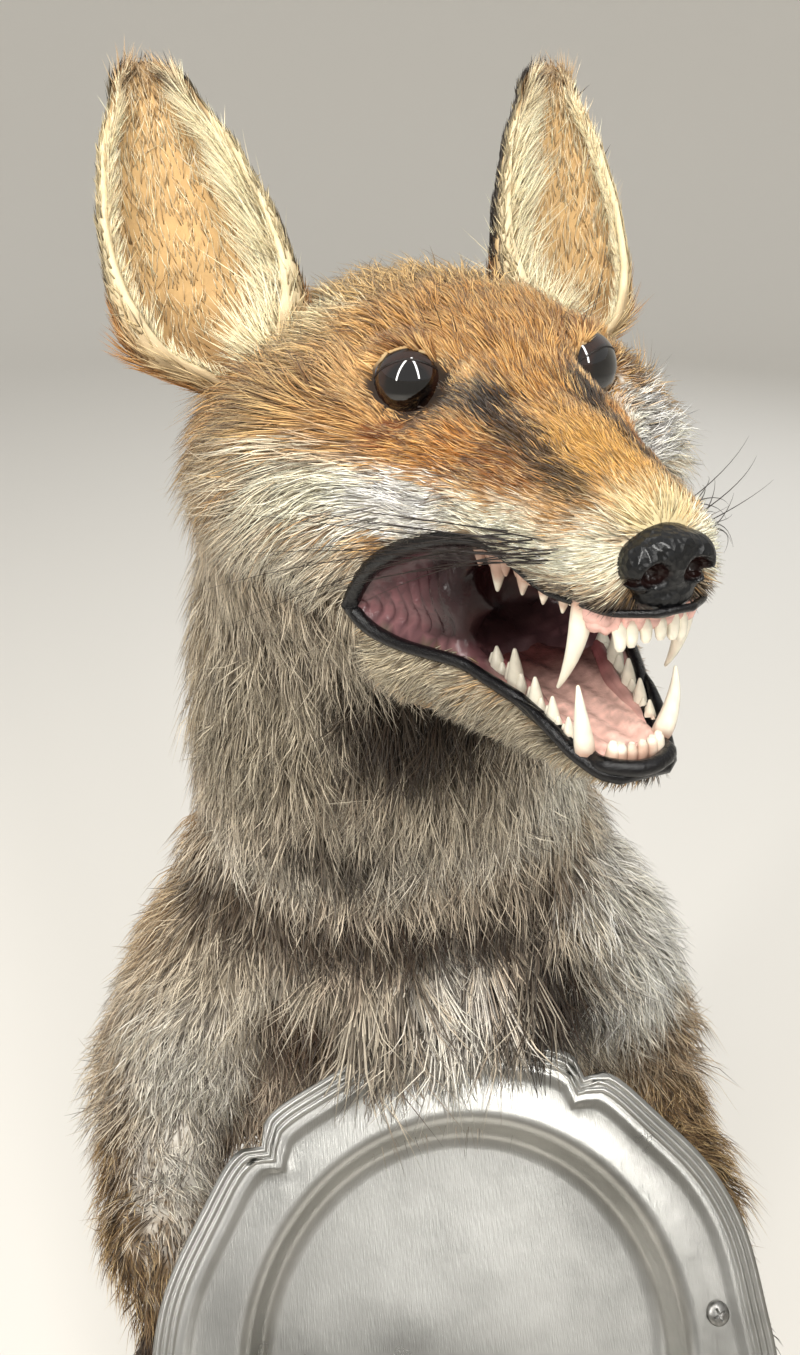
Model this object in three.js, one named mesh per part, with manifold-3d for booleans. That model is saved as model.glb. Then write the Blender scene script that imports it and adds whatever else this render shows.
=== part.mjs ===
// A red fox mounted upright on its hind legs, with a lobed pewter dish screwed to its forepaws.
// Millimetres, +Z up. The fox faces -Y and its left is +X. The origin is on the base's underside,
// straight below the middle of the trunk. Flesh pieces are drawn out to the tips of the coat.

import * as THREE from 'three';
import { mergeVertices } from 'three/addons/utils/BufferGeometryUtils.js';
import Module from 'manifold-3d';

const wasm = await Module();
wasm.setup();

// ---- driving dimensions ----

const gap = 0.4;                 // clearance between touching pieces
const simplifyTo = 0.12;         // faces flatter than this are merged
const eyeHeight = 880;           // eyes above the floor
const baseThickness = 28;
const base = { width: 300, depth: 370, corner: 70, chamfer: 4, centreY: 22 };

const headPlace = { x: 17, y: -63.7, z: eyeHeight };  // midway between the eyes
const headTurn = 14.2;           // degrees, towards the fox's left
const headRaise = 6.4;           // degrees, nose up

// eye balls in the head's frame: half their spacing, and how far both sit to the left
const eye = { x: 24.4, shift: 2.9, y: 4.1, z: -0.3, radius: 10.5, outward: 25, upward: 5 };
const earTipLean = 30;           // tip behind the base
const earHeight = 78;
const dish = {
  x: 10, y: -140, z: eyeHeight - 331.7, tilt: 44,
  rimRadius: 112.5, wellRadius: 83, floorRadius: 73, lobeSwell: 2.4, wellDepth: 13, thickness: 2.6,
  lobes: 5, firstNotch: 60, notchDepth: 7, screwRadius: 92.5, screwAngle: 4.4,
};

// ---- materials ----

function finish(color, roughness, metalness = 0) {
  return new THREE.MeshStandardMaterial({ color, roughness, metalness });
}

const rufousCoat = finish('#b0713a', 0.9);
const greyCoat = finish('#8d7b68', 0.9);
const whiteCoat = finish('#d9cdb8', 0.9);
const darkCoat = finish('#33271f', 0.9);
const glassEye = finish('#0d0b0a', 0.05);
const wetBlack = finish('#141210', 0.35);
const ivory = finish('#e6dcc3', 0.4);
const pewter = finish('#a3a29b', 0.4, 1);
const steel = finish('#6d6a65', 0.45, 1);
const wood = finish('#6b4426', 0.55);

// ---- solids and meshes ----

function solidOf(geometry) {
  geometry.deleteAttribute('normal');
  geometry.deleteAttribute('uv');
  const merged = mergeVertices(geometry, 1e-4);
  return new wasm.Manifold(new wasm.Mesh({
    numProp: 3,
    vertProperties: merged.getAttribute('position').array,
    triVerts: Uint32Array.from(merged.getIndex().array),
  }));
}

function geometryOf(solid) {
  const mesh = solid.getMesh();
  const geometry = new THREE.BufferGeometry();
  geometry.setAttribute('position', new THREE.BufferAttribute(mesh.vertProperties, 3));
  geometry.setIndex(new THREE.BufferAttribute(mesh.triVerts, 1));
  geometry.computeVertexNormals();
  return geometry;
}

function placed(geometry, matrix) {
  geometry.applyMatrix4(matrix);
  return solidOf(geometry);
}

function joined(solids) {
  return solids.reduce((all, one) => all.add(one));
}

function largest(solid) {
  return solid.decompose().reduce((most, one) => (one.volume() > most.volume() ? one : most));
}

const radians = THREE.MathUtils.degToRad;

// A body form: rings along a spine of rows [x, y, z, half width, over, under]. A row's ring stands
// square to the spine; 'over' and 'under' are its reach to either side of the spine, across X.
function form(rows, options = {}) {
  const { sides = 12, startCap = 6, endCap = 6, capRings = 2, grow = 0 } = options;
  const { square = 2, squareOver = square } = options;
  const turn = options.side ?? new THREE.Vector3(1, 0, 0);
  const spine = new THREE.CatmullRomCurve3(rows.map((r) => new THREE.Vector3(r[0], r[1], r[2])));
  const sizes = new THREE.CatmullRomCurve3(rows.map((r) => new THREE.Vector3(r[3], r[4], r[5])));
  spine.curveType = 'catmullrom';
  sizes.curveType = 'catmullrom';
  const rings = [];
  function addRing(t, along, scale) {
    const tangent = spine.getTangent(t);
    const centre = spine.getPoint(t).addScaledVector(tangent, along);
    const size = sizes.getPoint(t).addScalar(grow).multiplyScalar(scale);
    rings.push({ centre, size, over: new THREE.Vector3().crossVectors(turn, tangent).normalize() });
  }
  for (let i = 0; i < capRings; i += 1) {
    const a = (i / capRings) * Math.PI / 2;
    addRing(0, -(startCap + grow) * Math.cos(a), Math.sin(a));
  }
  const count = rows.length - 1;
  for (let i = 0; i <= count; i += 1) {
    addRing(i / count, 0, 1);
  }
  for (let i = 1; i <= capRings; i += 1) {
    const a = (i / capRings) * Math.PI / 2;
    addRing(1, (endCap + grow) * Math.sin(a), i === capRings ? 0 : Math.cos(a));
  }
  const ball = new THREE.SphereGeometry(1, sides, rings.length - 1);
  const place = ball.getAttribute('position');
  for (let i = 0; i < place.count; i += 1) {
    const ring = rings[Math.floor(i / (sides + 1))];
    const angle = ((i % (sides + 1)) % sides) * 2 * Math.PI / sides;
    const power = 2 / (Math.sin(angle) < 0 ? squareOver : square);
    const across = -Math.sign(Math.cos(angle)) * Math.abs(Math.cos(angle)) ** power;
    const lift = -Math.sign(Math.sin(angle)) * Math.abs(Math.sin(angle)) ** power;
    const point = ring.centre.clone()
      .addScaledVector(turn, across * ring.size.x)
      .addScaledVector(ring.over, lift * (lift > 0 ? ring.size.y : ring.size.z));
    place.setXYZ(i, point.x, point.y, point.z);
  }
  return ball;
}

function ball(x, y, z, rx, ry = rx, rz = rx, segments = 14) {
  const sphere = new THREE.SphereGeometry(1, segments, Math.round(segments * 0.7));
  sphere.scale(rx, ry, rz);
  sphere.translate(x, y, z);
  return sphere;
}

// a solid of a side-view outline [y, z], reaching from x0 to x1
function sideSlab(outline, x0, x1) {
  const shape = new THREE.Shape(outline.map(([y, z]) => new THREE.Vector2(y, z)));
  const slab = new THREE.ExtrudeGeometry(shape, { depth: x1 - x0, bevelEnabled: false });
  slab.applyMatrix4(new THREE.Matrix4().set(0, 0, 1, x0, 1, 0, 0, 0, 0, 1, 0, 0, 0, 0, 0, 1));
  return slab;
}

const headMatrix = new THREE.Matrix4().makeTranslation(headPlace.x, headPlace.y, headPlace.z)
  .multiply(new THREE.Matrix4().makeRotationZ(radians(headTurn)))
  .multiply(new THREE.Matrix4().makeRotationX(radians(-headRaise)));

const fox = new THREE.Group();

function add(name, solid, material) {
  const mesh = new THREE.Mesh(geometryOf(largest(solid.simplify(simplifyTo))), material);
  mesh.name = name;
  fox.add(mesh);
}

// ---- head, in its own frame: origin midway between the eyes, nose towards -Y ----

// nose to nape: muzzle, stop, brow, cheek ruff, nape
const skullRows = [
  [0, -77, -29.5, 14.2, 12.5, 12],
  [0, -67, -30, 17.4, 15.7, 14],
  [0, -55, -29.5, 20.4, 18.2, 14],
  [0, -42, -28.5, 24, 21.5, 14],
  [0, -29, -28, 30, 26, 18],
  [0, -17, -27.5, 37, 33.5, 28],
  [0, -5, -27.5, 49, 43, 37],
  [0, 8, -28, 66, 51.5, 45],
  [0, 24, -30, 80, 58, 52],
  [0, 43, -33, 83, 65, 57],
  [0, 62, -37, 81, 68, 58],
  [0, 80, -43, 72, 67, 56],
  [0, 95, -50, 55, 58, 46],
];

// chin to the back of the jaw
const jawRows = [
  [0, -74, -77.5, 10, 3, 5],
  [0, -65, -76.5, 14, 5, 8],
  [0, -52, -74, 17.5, 8, 12],
  [0, -36, -72, 24, 8, 16],
  [0, -18, -70, 33, 9, 20],
  [0, 2, -69, 45, 12, 23],
  [0, 20, -69, 55, 14, 24],
];

// the cheek that joins them behind the teeth, and the smooth lining inside the corners of the lips
const cheekRows = [
  [0, -31, -50, 27, 16, 16],
  [0, -14, -54, 36, 20, 18],
  [0, 4, -57, 47, 24, 20],
  [0, 22, -59, 58, 26, 22],
];
const liningRows = [
  [0, -36, -48, 22, 22, 22],
  [0, -14, -54, 30, 22, 20],
  [0, 8, -57, 43, 24, 20],
];

function skull(grow = 0) {
  const shape = form(skullRows, { sides: 16, startCap: 4, endCap: 16, grow, square: 2.6, squareOver: 1.85 });
  return placed(shape, headMatrix);
}

function jaw(grow = 0) {
  return placed(form(jawRows, { sides: 12, startCap: 5, endCap: 10, grow, square: 2.6 }), headMatrix);
}

function cheek(rows) {
  return placed(form(rows, { sides: 10, startCap: 3, endCap: 6, capRings: 1, square: 2.4 }), headMatrix);
}

// side view of the open mouth, from the front round to the corners of the lips
const lipLine = {
  upper: [[-110, -40], [-86, -39.5], [-79, -40.5], [-72, -39.3], [-61, -39], [-52, -36.5], [-47.5, -31],
    [-40, -30.3], [-28, -33.5]],
  lower: [[-28, -64.8], [-42, -65.7], [-55, -68], [-62, -71], [-68, -74.5], [-74, -77], [-80, -78],
    [-110, -79]],
  corner: [[-29, -33], [-21, -36], [-5, -46], [0.5, -54], [2.5, -59.5], [-6, -64], [-16, -65.4],
    [-29, -64.8]],
};
// the jaw is what lies below this line
const jawSplit = [[-120, -62], [-30, -62], [-28, -64.6], [-16, -65.2], [-6, -63.8], [3, -60], [8, -66],
  [44, -120], [-120, -120]];

function gape() {
  const front = placed(sideSlab([...lipLine.upper, ...lipLine.lower], -70, 70), headMatrix);
  const corners = placed(sideSlab(lipLine.corner, -70, 70), headMatrix).subtract(cheek(liningRows));
  const palate = placed(form([
    [0, -74, -41, 8, 6, 8],
    [0, -52, -40, 17.5, 8, 12],
    [0, -28, -44, 22, 10, 16],
    [0, -12, -52, 14, 6, 8],
  ], { sides: 6, startCap: 4, endCap: 6, capRings: 1 }), headMatrix);
  const mouthFloor = placed(form([
    [0, -66, -72, 11.5, 6, 6],
    [0, -50, -66, 18, 8, 11],
    [0, -28, -62, 21, 10, 11],
    [0, -12, -58, 13, 6, 6],
  ], { sides: 8, startCap: 3, endCap: 6, capRings: 1 }), headMatrix);
  return joined([front, corners, palate, mouthFloor]);
}

function eyeBall(side, grow = 0) {
  const radius = eye.radius + grow;
  return ball(side * eye.x + eye.shift, eye.y, eye.z, radius, radius, radius, 10);
}

// an eye's socket opens along the eye's own axis
function socket(side) {
  const depth = eye.radius + 0.6;
  const reach = 30;
  const outward = radians(eye.outward);
  const upward = radians(eye.upward);
  const axis = new THREE.Vector3(
    side * Math.sin(outward) * Math.cos(upward), -Math.cos(outward) * Math.cos(upward), Math.sin(upward));
  const tube = new THREE.CylinderGeometry(eye.radius + 1.6, eye.radius + 1.2, reach, 10);
  tube.translate(0, reach / 2 - depth, 0);
  tube.applyQuaternion(new THREE.Quaternion().setFromUnitVectors(new THREE.Vector3(0, 1, 0), axis));
  tube.translate(side * eye.x + eye.shift, eye.y, eye.z);
  return placed(tube, headMatrix);
}

function nosePad(grow = 0) {
  const pad = placed(ball(0, -79.5, -28.6, 10.4 + grow, 8.6 + grow, 8.4 + grow, 10), headMatrix);
  const lipFront = placed(form([
    [0, -77, -35, 8.5, 2.5, 2.2],
    [0, -83, -35, 6.5, 2.5, 2.4],
  ], { sides: 8, startCap: 3, endCap: 3, capRings: 1, grow }), headMatrix);
  return pad.add(lipFront);
}

function nostril(side) {
  return placed(ball(side * 5.6, -87, -29.6, 2.3, 4.5, 2.5, 6), headMatrix);
}

// ---- teeth ----

// a pointed tooth from its root to its tip
function tooth(root, tip, radius, sides = 4) {
  const from = new THREE.Vector3(...root);
  const to = new THREE.Vector3(...tip);
  const length = from.distanceTo(to);
  const cone = new THREE.ConeGeometry(radius, length, sides);
  const aim = new THREE.Quaternion().setFromUnitVectors(
    new THREE.Vector3(0, 1, 0), to.clone().sub(from).normalize());
  cone.applyQuaternion(aim);
  cone.translate(...from.clone().add(to).multiplyScalar(0.5).toArray());
  return placed(cone, headMatrix);
}

// cheekTeeth: rows of [place from canine to back, height, radius]
const upperTeeth = {
  front: -78.5, canine: [12.6, -70.5, -36.8], back: [21.5, -36, -32.5], gumRadius: 3.2,
  canineTip: [14.2, -63.8, -61], canineRadius: 2.6, rise: -1, incisor: 10,
  cheekTeeth: [[0.2, 8, 2], [0.37, 9, 2.3], [0.54, 10.5, 2.5], [0.7, 14, 2.5], [0.8, 11, 2.5],
    [0.91, 8, 2.5]],
};
const lowerTeeth = {
  front: -75.5, canine: [10, -69.3, -77], back: [18.5, -32, -68.5], gumRadius: 3.3,
  canineTip: [12.6, -69.8, -58.8], canineRadius: 2.6, rise: 1, incisor: 6.5,
  cheekTeeth: [[0.2, 7, 1.9], [0.37, 8.5, 2.2], [0.54, 9.5, 2.4], [0.7, 12, 2.5], [0.8, 11, 2.5],
    [0.91, 6, 2.5]],
};

const canineAt = 1 / 5;          // the canine is the second of the arch's six points
const incisorStep = 0.052;       // along the arch
const incisorRadius = 1.7;

// the arch runs from the back of one side over its canine, the incisors and round to the other side
function archOf({ front, canine, back }, grow = 0) {
  const end = [back[0], back[1] + grow, back[2]];
  const half = [end, canine, [canine[0] * 0.5, front + 1.5, canine[2]]];
  const mirror = half.map(([x, y, z]) => [-x, y, z]).reverse();
  return new THREE.CatmullRomCurve3([...half, ...mirror].map((point) => new THREE.Vector3(...point)));
}

function gumOf(jawTeeth, grow = 0) {
  const section = new THREE.Shape();
  section.absellipse(0, 0, jawTeeth.gumRadius + grow, jawTeeth.gumRadius + grow, 0, 2 * Math.PI);
  const tube = new THREE.ExtrudeGeometry(section, {
    steps: 14, curveSegments: 3, bevelEnabled: false, extrudePath: archOf(jawTeeth, grow),
  });
  return placed(tube, headMatrix);
}

// cheek teeth, canines and incisors standing on their gum
function toothSet(jawTeeth, grow = 0) {
  const { canine, canineTip, rise } = jawTeeth;
  const arch = archOf(jawTeeth);
  const pieces = [gumOf(jawTeeth, grow)];
  for (const side of [-1, 1]) {
    for (const [along, height, radius] of jawTeeth.cheekTeeth) {
      const { x, y, z } = arch.getPoint(canineAt * (1 - along));
      pieces.push(tooth([side * x, y, z], [side * x, y + 1, z + rise * (height + grow)], radius + grow));
    }
    const root = [side * canine[0], canine[1], canine[2]];
    const tip = [side * canineTip[0], canineTip[1], canineTip[2]];
    pieces.push(tooth(root, tip, jawTeeth.canineRadius + grow, 6));
    for (let i = 0; i < 3; i += 1) {
      const { x, y, z } = arch.getPoint(0.5 - incisorStep * (i + 0.5));
      const height = jawTeeth.incisor + i * 0.8;
      const edge = [side * x, y - 1.2, z + rise * (height + grow)];
      pieces.push(tooth([side * x, y, z], edge, incisorRadius + grow));
    }
  }
  return joined(pieces);
}

function makeHead() {
  const sockets = [socket(-1), socket(1)];
  const whole = skull().add(jaw()).add(cheek(cheekRows)).subtract(gape()).subtract(joined(sockets))
    .subtract(nosePad(gap)).subtract(toothSet(upperTeeth, gap)).subtract(toothSet(lowerTeeth, gap));
  const split = placed(sideSlab(jawSplit, -120, 120), headMatrix);
  const shifted = jawSplit.map(([y, z]) => [y - gap, z - gap]);
  add('head', largest(whole.subtract(split)), rufousCoat);
  add('lower_jaw', largest(whole.intersect(placed(sideSlab(shifted, -120, 120), headMatrix))), whiteCoat);
  const nostrils = joined([nostril(-1), nostril(1)]);
  add('nose', nosePad().subtract(nostrils).subtract(gumOf(upperTeeth, gap)), wetBlack);
  add('upper_teeth', toothSet(upperTeeth), ivory);
  add('lower_teeth', toothSet(lowerTeeth), ivory);
  for (const [side, name] of [[-1, 'right'], [1, 'left']]) {
    add(`eye_${name}`, placed(eyeBall(side), headMatrix), glassEye);
  }
}

makeHead();

// ---- ears ----

// rows run from the base to the tip: half width, reach of the front edges, reach of the back
function earRows(side, spread, inset, frontReach) {
  const reaches = [[0, 27, 12, 17], [20, 28.5, 11, 16], [39, 25.5, 8, 13], [58, 19.5, 5.5, 9],
    [72, 11.5, 3.5, 5.5]];
  return reaches.map(([z, half, front, back]) => {
    const lean = earTipLean * (z / earHeight) ** 1.3;
    return [side * (spread + z * 0.1), 54 + lean, z, half - inset, front + frontReach, back - inset];
  });
}

function ear(side, spread) {
  const facing = new THREE.Vector3(1, 0, 0).applyAxisAngle(new THREE.Vector3(0, 0, 1), radians(side * 14));
  const shell = placed(form(earRows(side, spread, 0, 0), { sides: 10, endCap: 9, side: facing }), headMatrix);
  const hollowRows = earRows(side, spread, 3.6, 18).slice(1);
  const scoop = form(hollowRows, { sides: 8, startCap: 8, endCap: 4, capRings: 1, side: facing });
  const hollow = placed(scoop, headMatrix);
  return largest(shell.subtract(hollow).subtract(skull(gap)));
}

add('ear_right', ear(-1, 59), greyCoat);
add('ear_left', ear(1, 50.5), greyCoat);

// ---- neck and trunk: rows run down, 'over' is the back and 'under' the front ----

const neckRows = [
  [4, 6, 852, 60, 52, 44],
  [0, 3, 818, 76, 64, 60],
  [-3, 1, 780, 81, 70, 66],
  [-5, 0, 742, 82, 72, 67],
  [-3, 0, 706, 86, 74, 67],
];
const trunkRows = [
  [-3, 1, 706, 80, 72, 62],
  [-1, 2, 672, 90, 76, 66],
  [0, 3, 632, 92, 77, 61],
  [0, 4, 590, 90, 77, 62],
  [0, 6, 540, 87, 75, 66],
  [0, 8, 480, 75, 73, 68],
  [0, 11, 425, 73, 72, 66],
  [0, 15, 375, 76, 70, 60],
  [0, 20, 330, 66, 62, 48],
];

function trunk(grow = 0) {
  return solidOf(form(trunkRows, { sides: 16, startCap: 14, endCap: 34, capRings: 3, grow, square: 2.1 }));
}

function neck() {
  return solidOf(form(neckRows, { sides: 12, startCap: 20, endCap: 4, square: 2.1 }));
}

add('trunk', trunk(), greyCoat);
add('neck', largest(neck().subtract(trunk(gap)).subtract(skull(gap)).subtract(jaw(gap))), greyCoat);

// ---- forelegs: the upper arm hangs, the forearm comes forward, the paw slopes down under the dish ----

const dishMatrix = new THREE.Matrix4().makeTranslation(dish.x, dish.y, dish.z)
  .multiply(new THREE.Matrix4().makeRotationX(radians(dish.tilt)));

function dishPoint(x, y, z) {
  return new THREE.Vector3(x, y, z).applyMatrix4(dishMatrix).toArray();
}

const screwX = dish.screwRadius * Math.cos(radians(dish.screwAngle));
const screwY = dish.screwRadius * Math.sin(radians(dish.screwAngle));
const pawDepth = -16.5;          // middle of the paw below the dish's rim

function upperArm(side, grow = 0) {
  const rows = [
    [side * 62, -10, 674, 33, 38, 36],
    [side * 77, -14, 640, 38, 42, 42],
    [side * 90, -10, 602, 38, 39, 38],
    [side * 105, 0, 564, 36, 35, 36],
    [side * 108, 8, 532, 31, 30, 32],
  ];
  return solidOf(form(rows, { sides: 10, startCap: 18, endCap: 20, grow }));
}

function forearm(side, grow = 0) {
  const spread = side < 0 ? 20 : 6;
  const wrist = dishPoint(side * (screwX + spread), screwY + 36, pawDepth - 8);
  const rows = [
    [side * 108, 4, 530, 31, 30, 30],
    [side * 110, -28, 532, 31, 27, 31],
    [(side * 110 + wrist[0]) / 2, -62, 540, 28, 23, 29],
    [wrist[0], wrist[1], wrist[2], 23, 16, 24],
  ];
  const across = new THREE.Vector3(-1, 0, 0);
  return solidOf(form(rows, { sides: 10, startCap: 16, endCap: 8, grow, side: across }));
}

// four toes with claws at the end of a paw's palm; 'place' carries the paw's frame (toes to -Y)
function paw(rows, toes, place) {
  const solids = [placed(form(rows, { sides: 8, startCap: toes.heel, endCap: 6, capRings: 1 }), place)];
  for (let i = 0; i < 4; i += 1) {
    const x = (i - 1.5) * toes.spacing;
    const reach = i === 0 || i === 3 ? 0 : toes.lead;
    const end = toes.y - reach;
    solids.push(placed(ball(x, end, toes.z, toes.radius, toes.radius * 1.7, toes.radius * 1.05, 6), place));
    solids.push(placed(claw(x * 1.04, end - toes.radius * 1.35, toes.z), place));
  }
  return joined(solids);
}

// a claw that points along -Y and turns down
function claw(x, y, z) {
  const spike = new THREE.ConeGeometry(2.4, 15, 4);
  spike.rotateX(Math.PI / 2 + radians(22));
  spike.translate(x, y - 4.5, z - 1.5);
  return spike;
}

function forepaw(side) {
  const outward = side * 10;
  const place = dishMatrix.clone()
    .multiply(new THREE.Matrix4().makeTranslation(side * (screwX + (side < 0 ? 16 : 6)), screwY, pawDepth))
    .multiply(new THREE.Matrix4().makeRotationZ(radians(outward)));
  const rows = [
    [0, 34, 0, 20, 12, 14],
    [0, 18, 0, 20, 12.5, 14],
    [0, 2, -0.5, 19, 12, 12],
    [0, -10, -1, 18, 10, 11],
  ].map(([x, y, z, half, over, under]) => [x, y, z, half, under, over]);
  return paw(rows, { heel: 6, y: -18, z: -2, radius: 6.8, spacing: 9.6, lead: 7 }, place);
}

for (const [side, name] of [[-1, 'right'], [1, 'left']]) {
  add(`upper_arm_${name}`, largest(upperArm(side).subtract(trunk(gap))), greyCoat);
  add(`forearm_${name}`, largest(forearm(side).subtract(upperArm(side, gap)).subtract(trunk(gap))), greyCoat);
  add(`forepaw_${name}`, largest(forepaw(side).subtract(forearm(side, gap))), darkCoat);
}

// ---- hind legs ----

function thigh(side, grow = 0) {
  const rows = [
    [side * 40, 24, 366, 34, 46, 50],
    [side * 50, 10, 322, 35, 50, 46],
    [side * 57, -12, 274, 31, 42, 36],
    [side * 61, -32, 236, 26, 32, 28],
  ];
  return solidOf(form(rows, { sides: 10, startCap: 20, endCap: 20, grow }));
}

function shank(side, grow = 0) {
  const rows = [
    [side * 61, -30, 236, 24, 26, 24],
    [side * 60, -6, 200, 21, 24, 21],
    [side * 58, 24, 164, 16, 18, 16],
    [side * 56, 48, 132, 14, 15, 14],
  ];
  return solidOf(form(rows, { sides: 10, startCap: 14, endCap: 12, grow }));
}

function hindFoot(side) {
  const cannon = solidOf(form([
    [side * 56, 52, 130, 13.5, 14, 13.5],
    [side * 55, 42, 98, 12, 12.5, 12],
    [side * 54, 24, 64, 13, 14, 13],
    [side * 53, 6, 46, 15, 14, 12],
  ], { sides: 8, startCap: 12, endCap: 6, capRings: 1 }));
  const place = new THREE.Matrix4().makeTranslation(side * 53, 0, baseThickness + gap + 13.5)
    .multiply(new THREE.Matrix4().makeRotationZ(radians(side * 6)));
  const rows = [
    [0, 22, 1, 14, 12, 11],
    [0, 4, 0, 17, 14, 13.2],
    [0, -18, -1, 20, 13, 12.4],
    [0, -32, -2, 19, 11, 11.4],
  ].map(([x, y, z, half, over, under]) => [x, y, z, half, under, over]);
  const foot = paw(rows, { heel: 8, y: -42, z: -5.2, radius: 7.9, spacing: 10.4, lead: 8 }, place);
  const sole = new THREE.BoxGeometry(60, 110, 20);
  sole.translate(side * 53, -20, baseThickness + gap - 10);
  return cannon.add(foot).subtract(solidOf(sole));
}

for (const [side, name] of [[-1, 'right'], [1, 'left']]) {
  add(`thigh_${name}`, largest(thigh(side).subtract(trunk(gap))), rufousCoat);
  add(`shank_${name}`, largest(shank(side).subtract(thigh(side, gap))), rufousCoat);
  add(`hind_foot_${name}`, largest(hindFoot(side).subtract(shank(side, gap))), darkCoat);
}

// ---- tail: hangs behind the legs, its white tip turned back over the base ----

const tailRows = [
  [0, 62, 352, 24, 24, 24],
  [0, 92, 318, 30, 29, 30],
  [1, 118, 268, 37, 35, 37],
  [2, 138, 208, 43, 41, 43],
  [3, 154, 150, 45, 43, 45],
  [4, 174, 100, 42, 40, 42],
  [5, 204, 72, 33, 33, 32],
  [6, 236, 62, 19, 20, 18],
];

function tailLength(name, from, to, material) {
  const whole = solidOf(form(tailRows, { sides: 14, startCap: 10, endCap: 22 }))
    .subtract(trunk(gap));
  const slab = new THREE.BoxGeometry(200, 400, to - from);
  slab.translate(0, 150, (from + to) / 2);
  add(name, largest(whole.intersect(solidOf(slab))), material);
}

const tailCuts = [400, 270, 118];
tailLength('tail_root', tailCuts[1] + gap, tailCuts[0], rufousCoat);
tailLength('tail_middle', tailCuts[2] + gap, tailCuts[1], greyCoat);
tailLength('tail_tip', 20, tailCuts[2], whiteCoat);

// ---- dish: spun, with the rim drawn into lobes between narrow notches ----

function rimOffset(angle) {
  const period = 360 / dish.lobes;
  const turn = (((angle - dish.firstNotch) % period) + period) % period;
  const off = Math.min(turn, period - turn);
  const bulge = dish.lobeSwell * Math.cos(radians(off * 180 / 18)) * Math.exp(-off / 30);
  return -dish.notchDepth * Math.exp(-off / 3.2) + bulge * (off > 3 ? 1 : 0.4);
}

function makeDish() {
  const { rimRadius, wellRadius, floorRadius, wellDepth, thickness } = dish;
  const top = [[0, -wellDepth], [floorRadius, -wellDepth], [wellRadius, 0], [rimRadius - 8, 0],
    [rimRadius - 6, 1.6], [rimRadius, 2]];
  const bottom = [[rimRadius, -1], [rimRadius - 8, -thickness], [wellRadius - 1, -thickness],
    [floorRadius + 1, -wellDepth - thickness], [0, -wellDepth - thickness]];
  const profile = [...top, ...bottom].reverse().map(([r, z]) => new THREE.Vector2(r, z));
  const lathe = new THREE.LatheGeometry(profile, 7 * dish.lobes, radians(dish.firstNotch + 90));
  const place = lathe.getAttribute('position');
  for (let i = 0; i < place.count; i += 1) {
    const x = place.getX(i);
    const z = place.getZ(i);
    const radius = Math.hypot(x, z);
    const share = THREE.MathUtils.smoothstep(radius, wellRadius, rimRadius - 8);
    if (share > 0) {
      const angle = THREE.MathUtils.radToDeg(Math.atan2(-z, x));
      const stretch = 1 + share * rimOffset(angle) / radius;
      place.setX(i, x * stretch);
      place.setZ(i, z * stretch);
    }
  }
  lathe.rotateX(Math.PI / 2);
  add('dish', placed(lathe, dishMatrix), pewter);
}

function makeScrew(side, name) {
  const head = new THREE.LatheGeometry(
    [[0, 0.3], [4.3, 0.3], [4.1, 1.1], [2.6, 1.9], [0, 2.3]].map(([r, z]) => new THREE.Vector2(r, z)), 10);
  head.rotateX(Math.PI / 2);
  head.translate(side * screwX, screwY, 0);
  add(`screw_${name}`, placed(head, dishMatrix), steel);
}

makeDish();
makeScrew(-1, 'right');
makeScrew(1, 'left');

// ---- base ----

function makeBase() {
  const { width, depth, corner, chamfer, centreY } = base;
  const outline = new THREE.Shape();
  const x = width / 2 - chamfer;
  const y = depth / 2 - chamfer;
  const r = corner - chamfer;
  outline.moveTo(x, -y + r);
  outline.lineTo(x, y - r);
  outline.absarc(x - r, y - r, r, 0, Math.PI / 2);
  outline.lineTo(-x + r, y);
  outline.absarc(-x + r, y - r, r, Math.PI / 2, Math.PI);
  outline.lineTo(-x, -y + r);
  outline.absarc(-x + r, -y + r, r, Math.PI, Math.PI * 1.5);
  outline.lineTo(x - r, -y);
  outline.absarc(x - r, -y + r, r, Math.PI * 1.5, Math.PI * 2);
  const board = new THREE.ExtrudeGeometry(outline, {
    depth: baseThickness - 2 * chamfer, curveSegments: 3,
    bevelEnabled: true, bevelThickness: chamfer, bevelSize: chamfer, bevelSegments: 1,
  });
  board.translate(0, centreY, chamfer);
  add('stand_base', solidOf(board), wood);
}

makeBase();

export default fox;
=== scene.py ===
import math

import bmesh
import bpy
import numpy as np
from mathutils import Matrix, Vector
from mathutils.bvhtree import BVHTree


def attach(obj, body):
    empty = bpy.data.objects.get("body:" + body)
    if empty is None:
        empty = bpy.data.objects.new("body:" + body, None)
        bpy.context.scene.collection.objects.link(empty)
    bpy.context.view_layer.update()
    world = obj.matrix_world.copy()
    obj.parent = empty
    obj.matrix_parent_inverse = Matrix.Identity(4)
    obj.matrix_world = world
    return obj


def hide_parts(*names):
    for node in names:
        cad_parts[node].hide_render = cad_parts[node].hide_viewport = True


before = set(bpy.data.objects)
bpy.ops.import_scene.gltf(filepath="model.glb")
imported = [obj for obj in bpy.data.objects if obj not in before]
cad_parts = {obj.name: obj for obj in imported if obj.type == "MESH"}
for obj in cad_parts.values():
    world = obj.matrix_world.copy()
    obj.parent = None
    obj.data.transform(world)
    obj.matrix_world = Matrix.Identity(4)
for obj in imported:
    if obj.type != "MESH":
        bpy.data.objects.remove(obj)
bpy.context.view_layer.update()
mm = 0.001
fullTurn = 2 * math.pi
sides = {-1: "_right", 1: "_left"}

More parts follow.
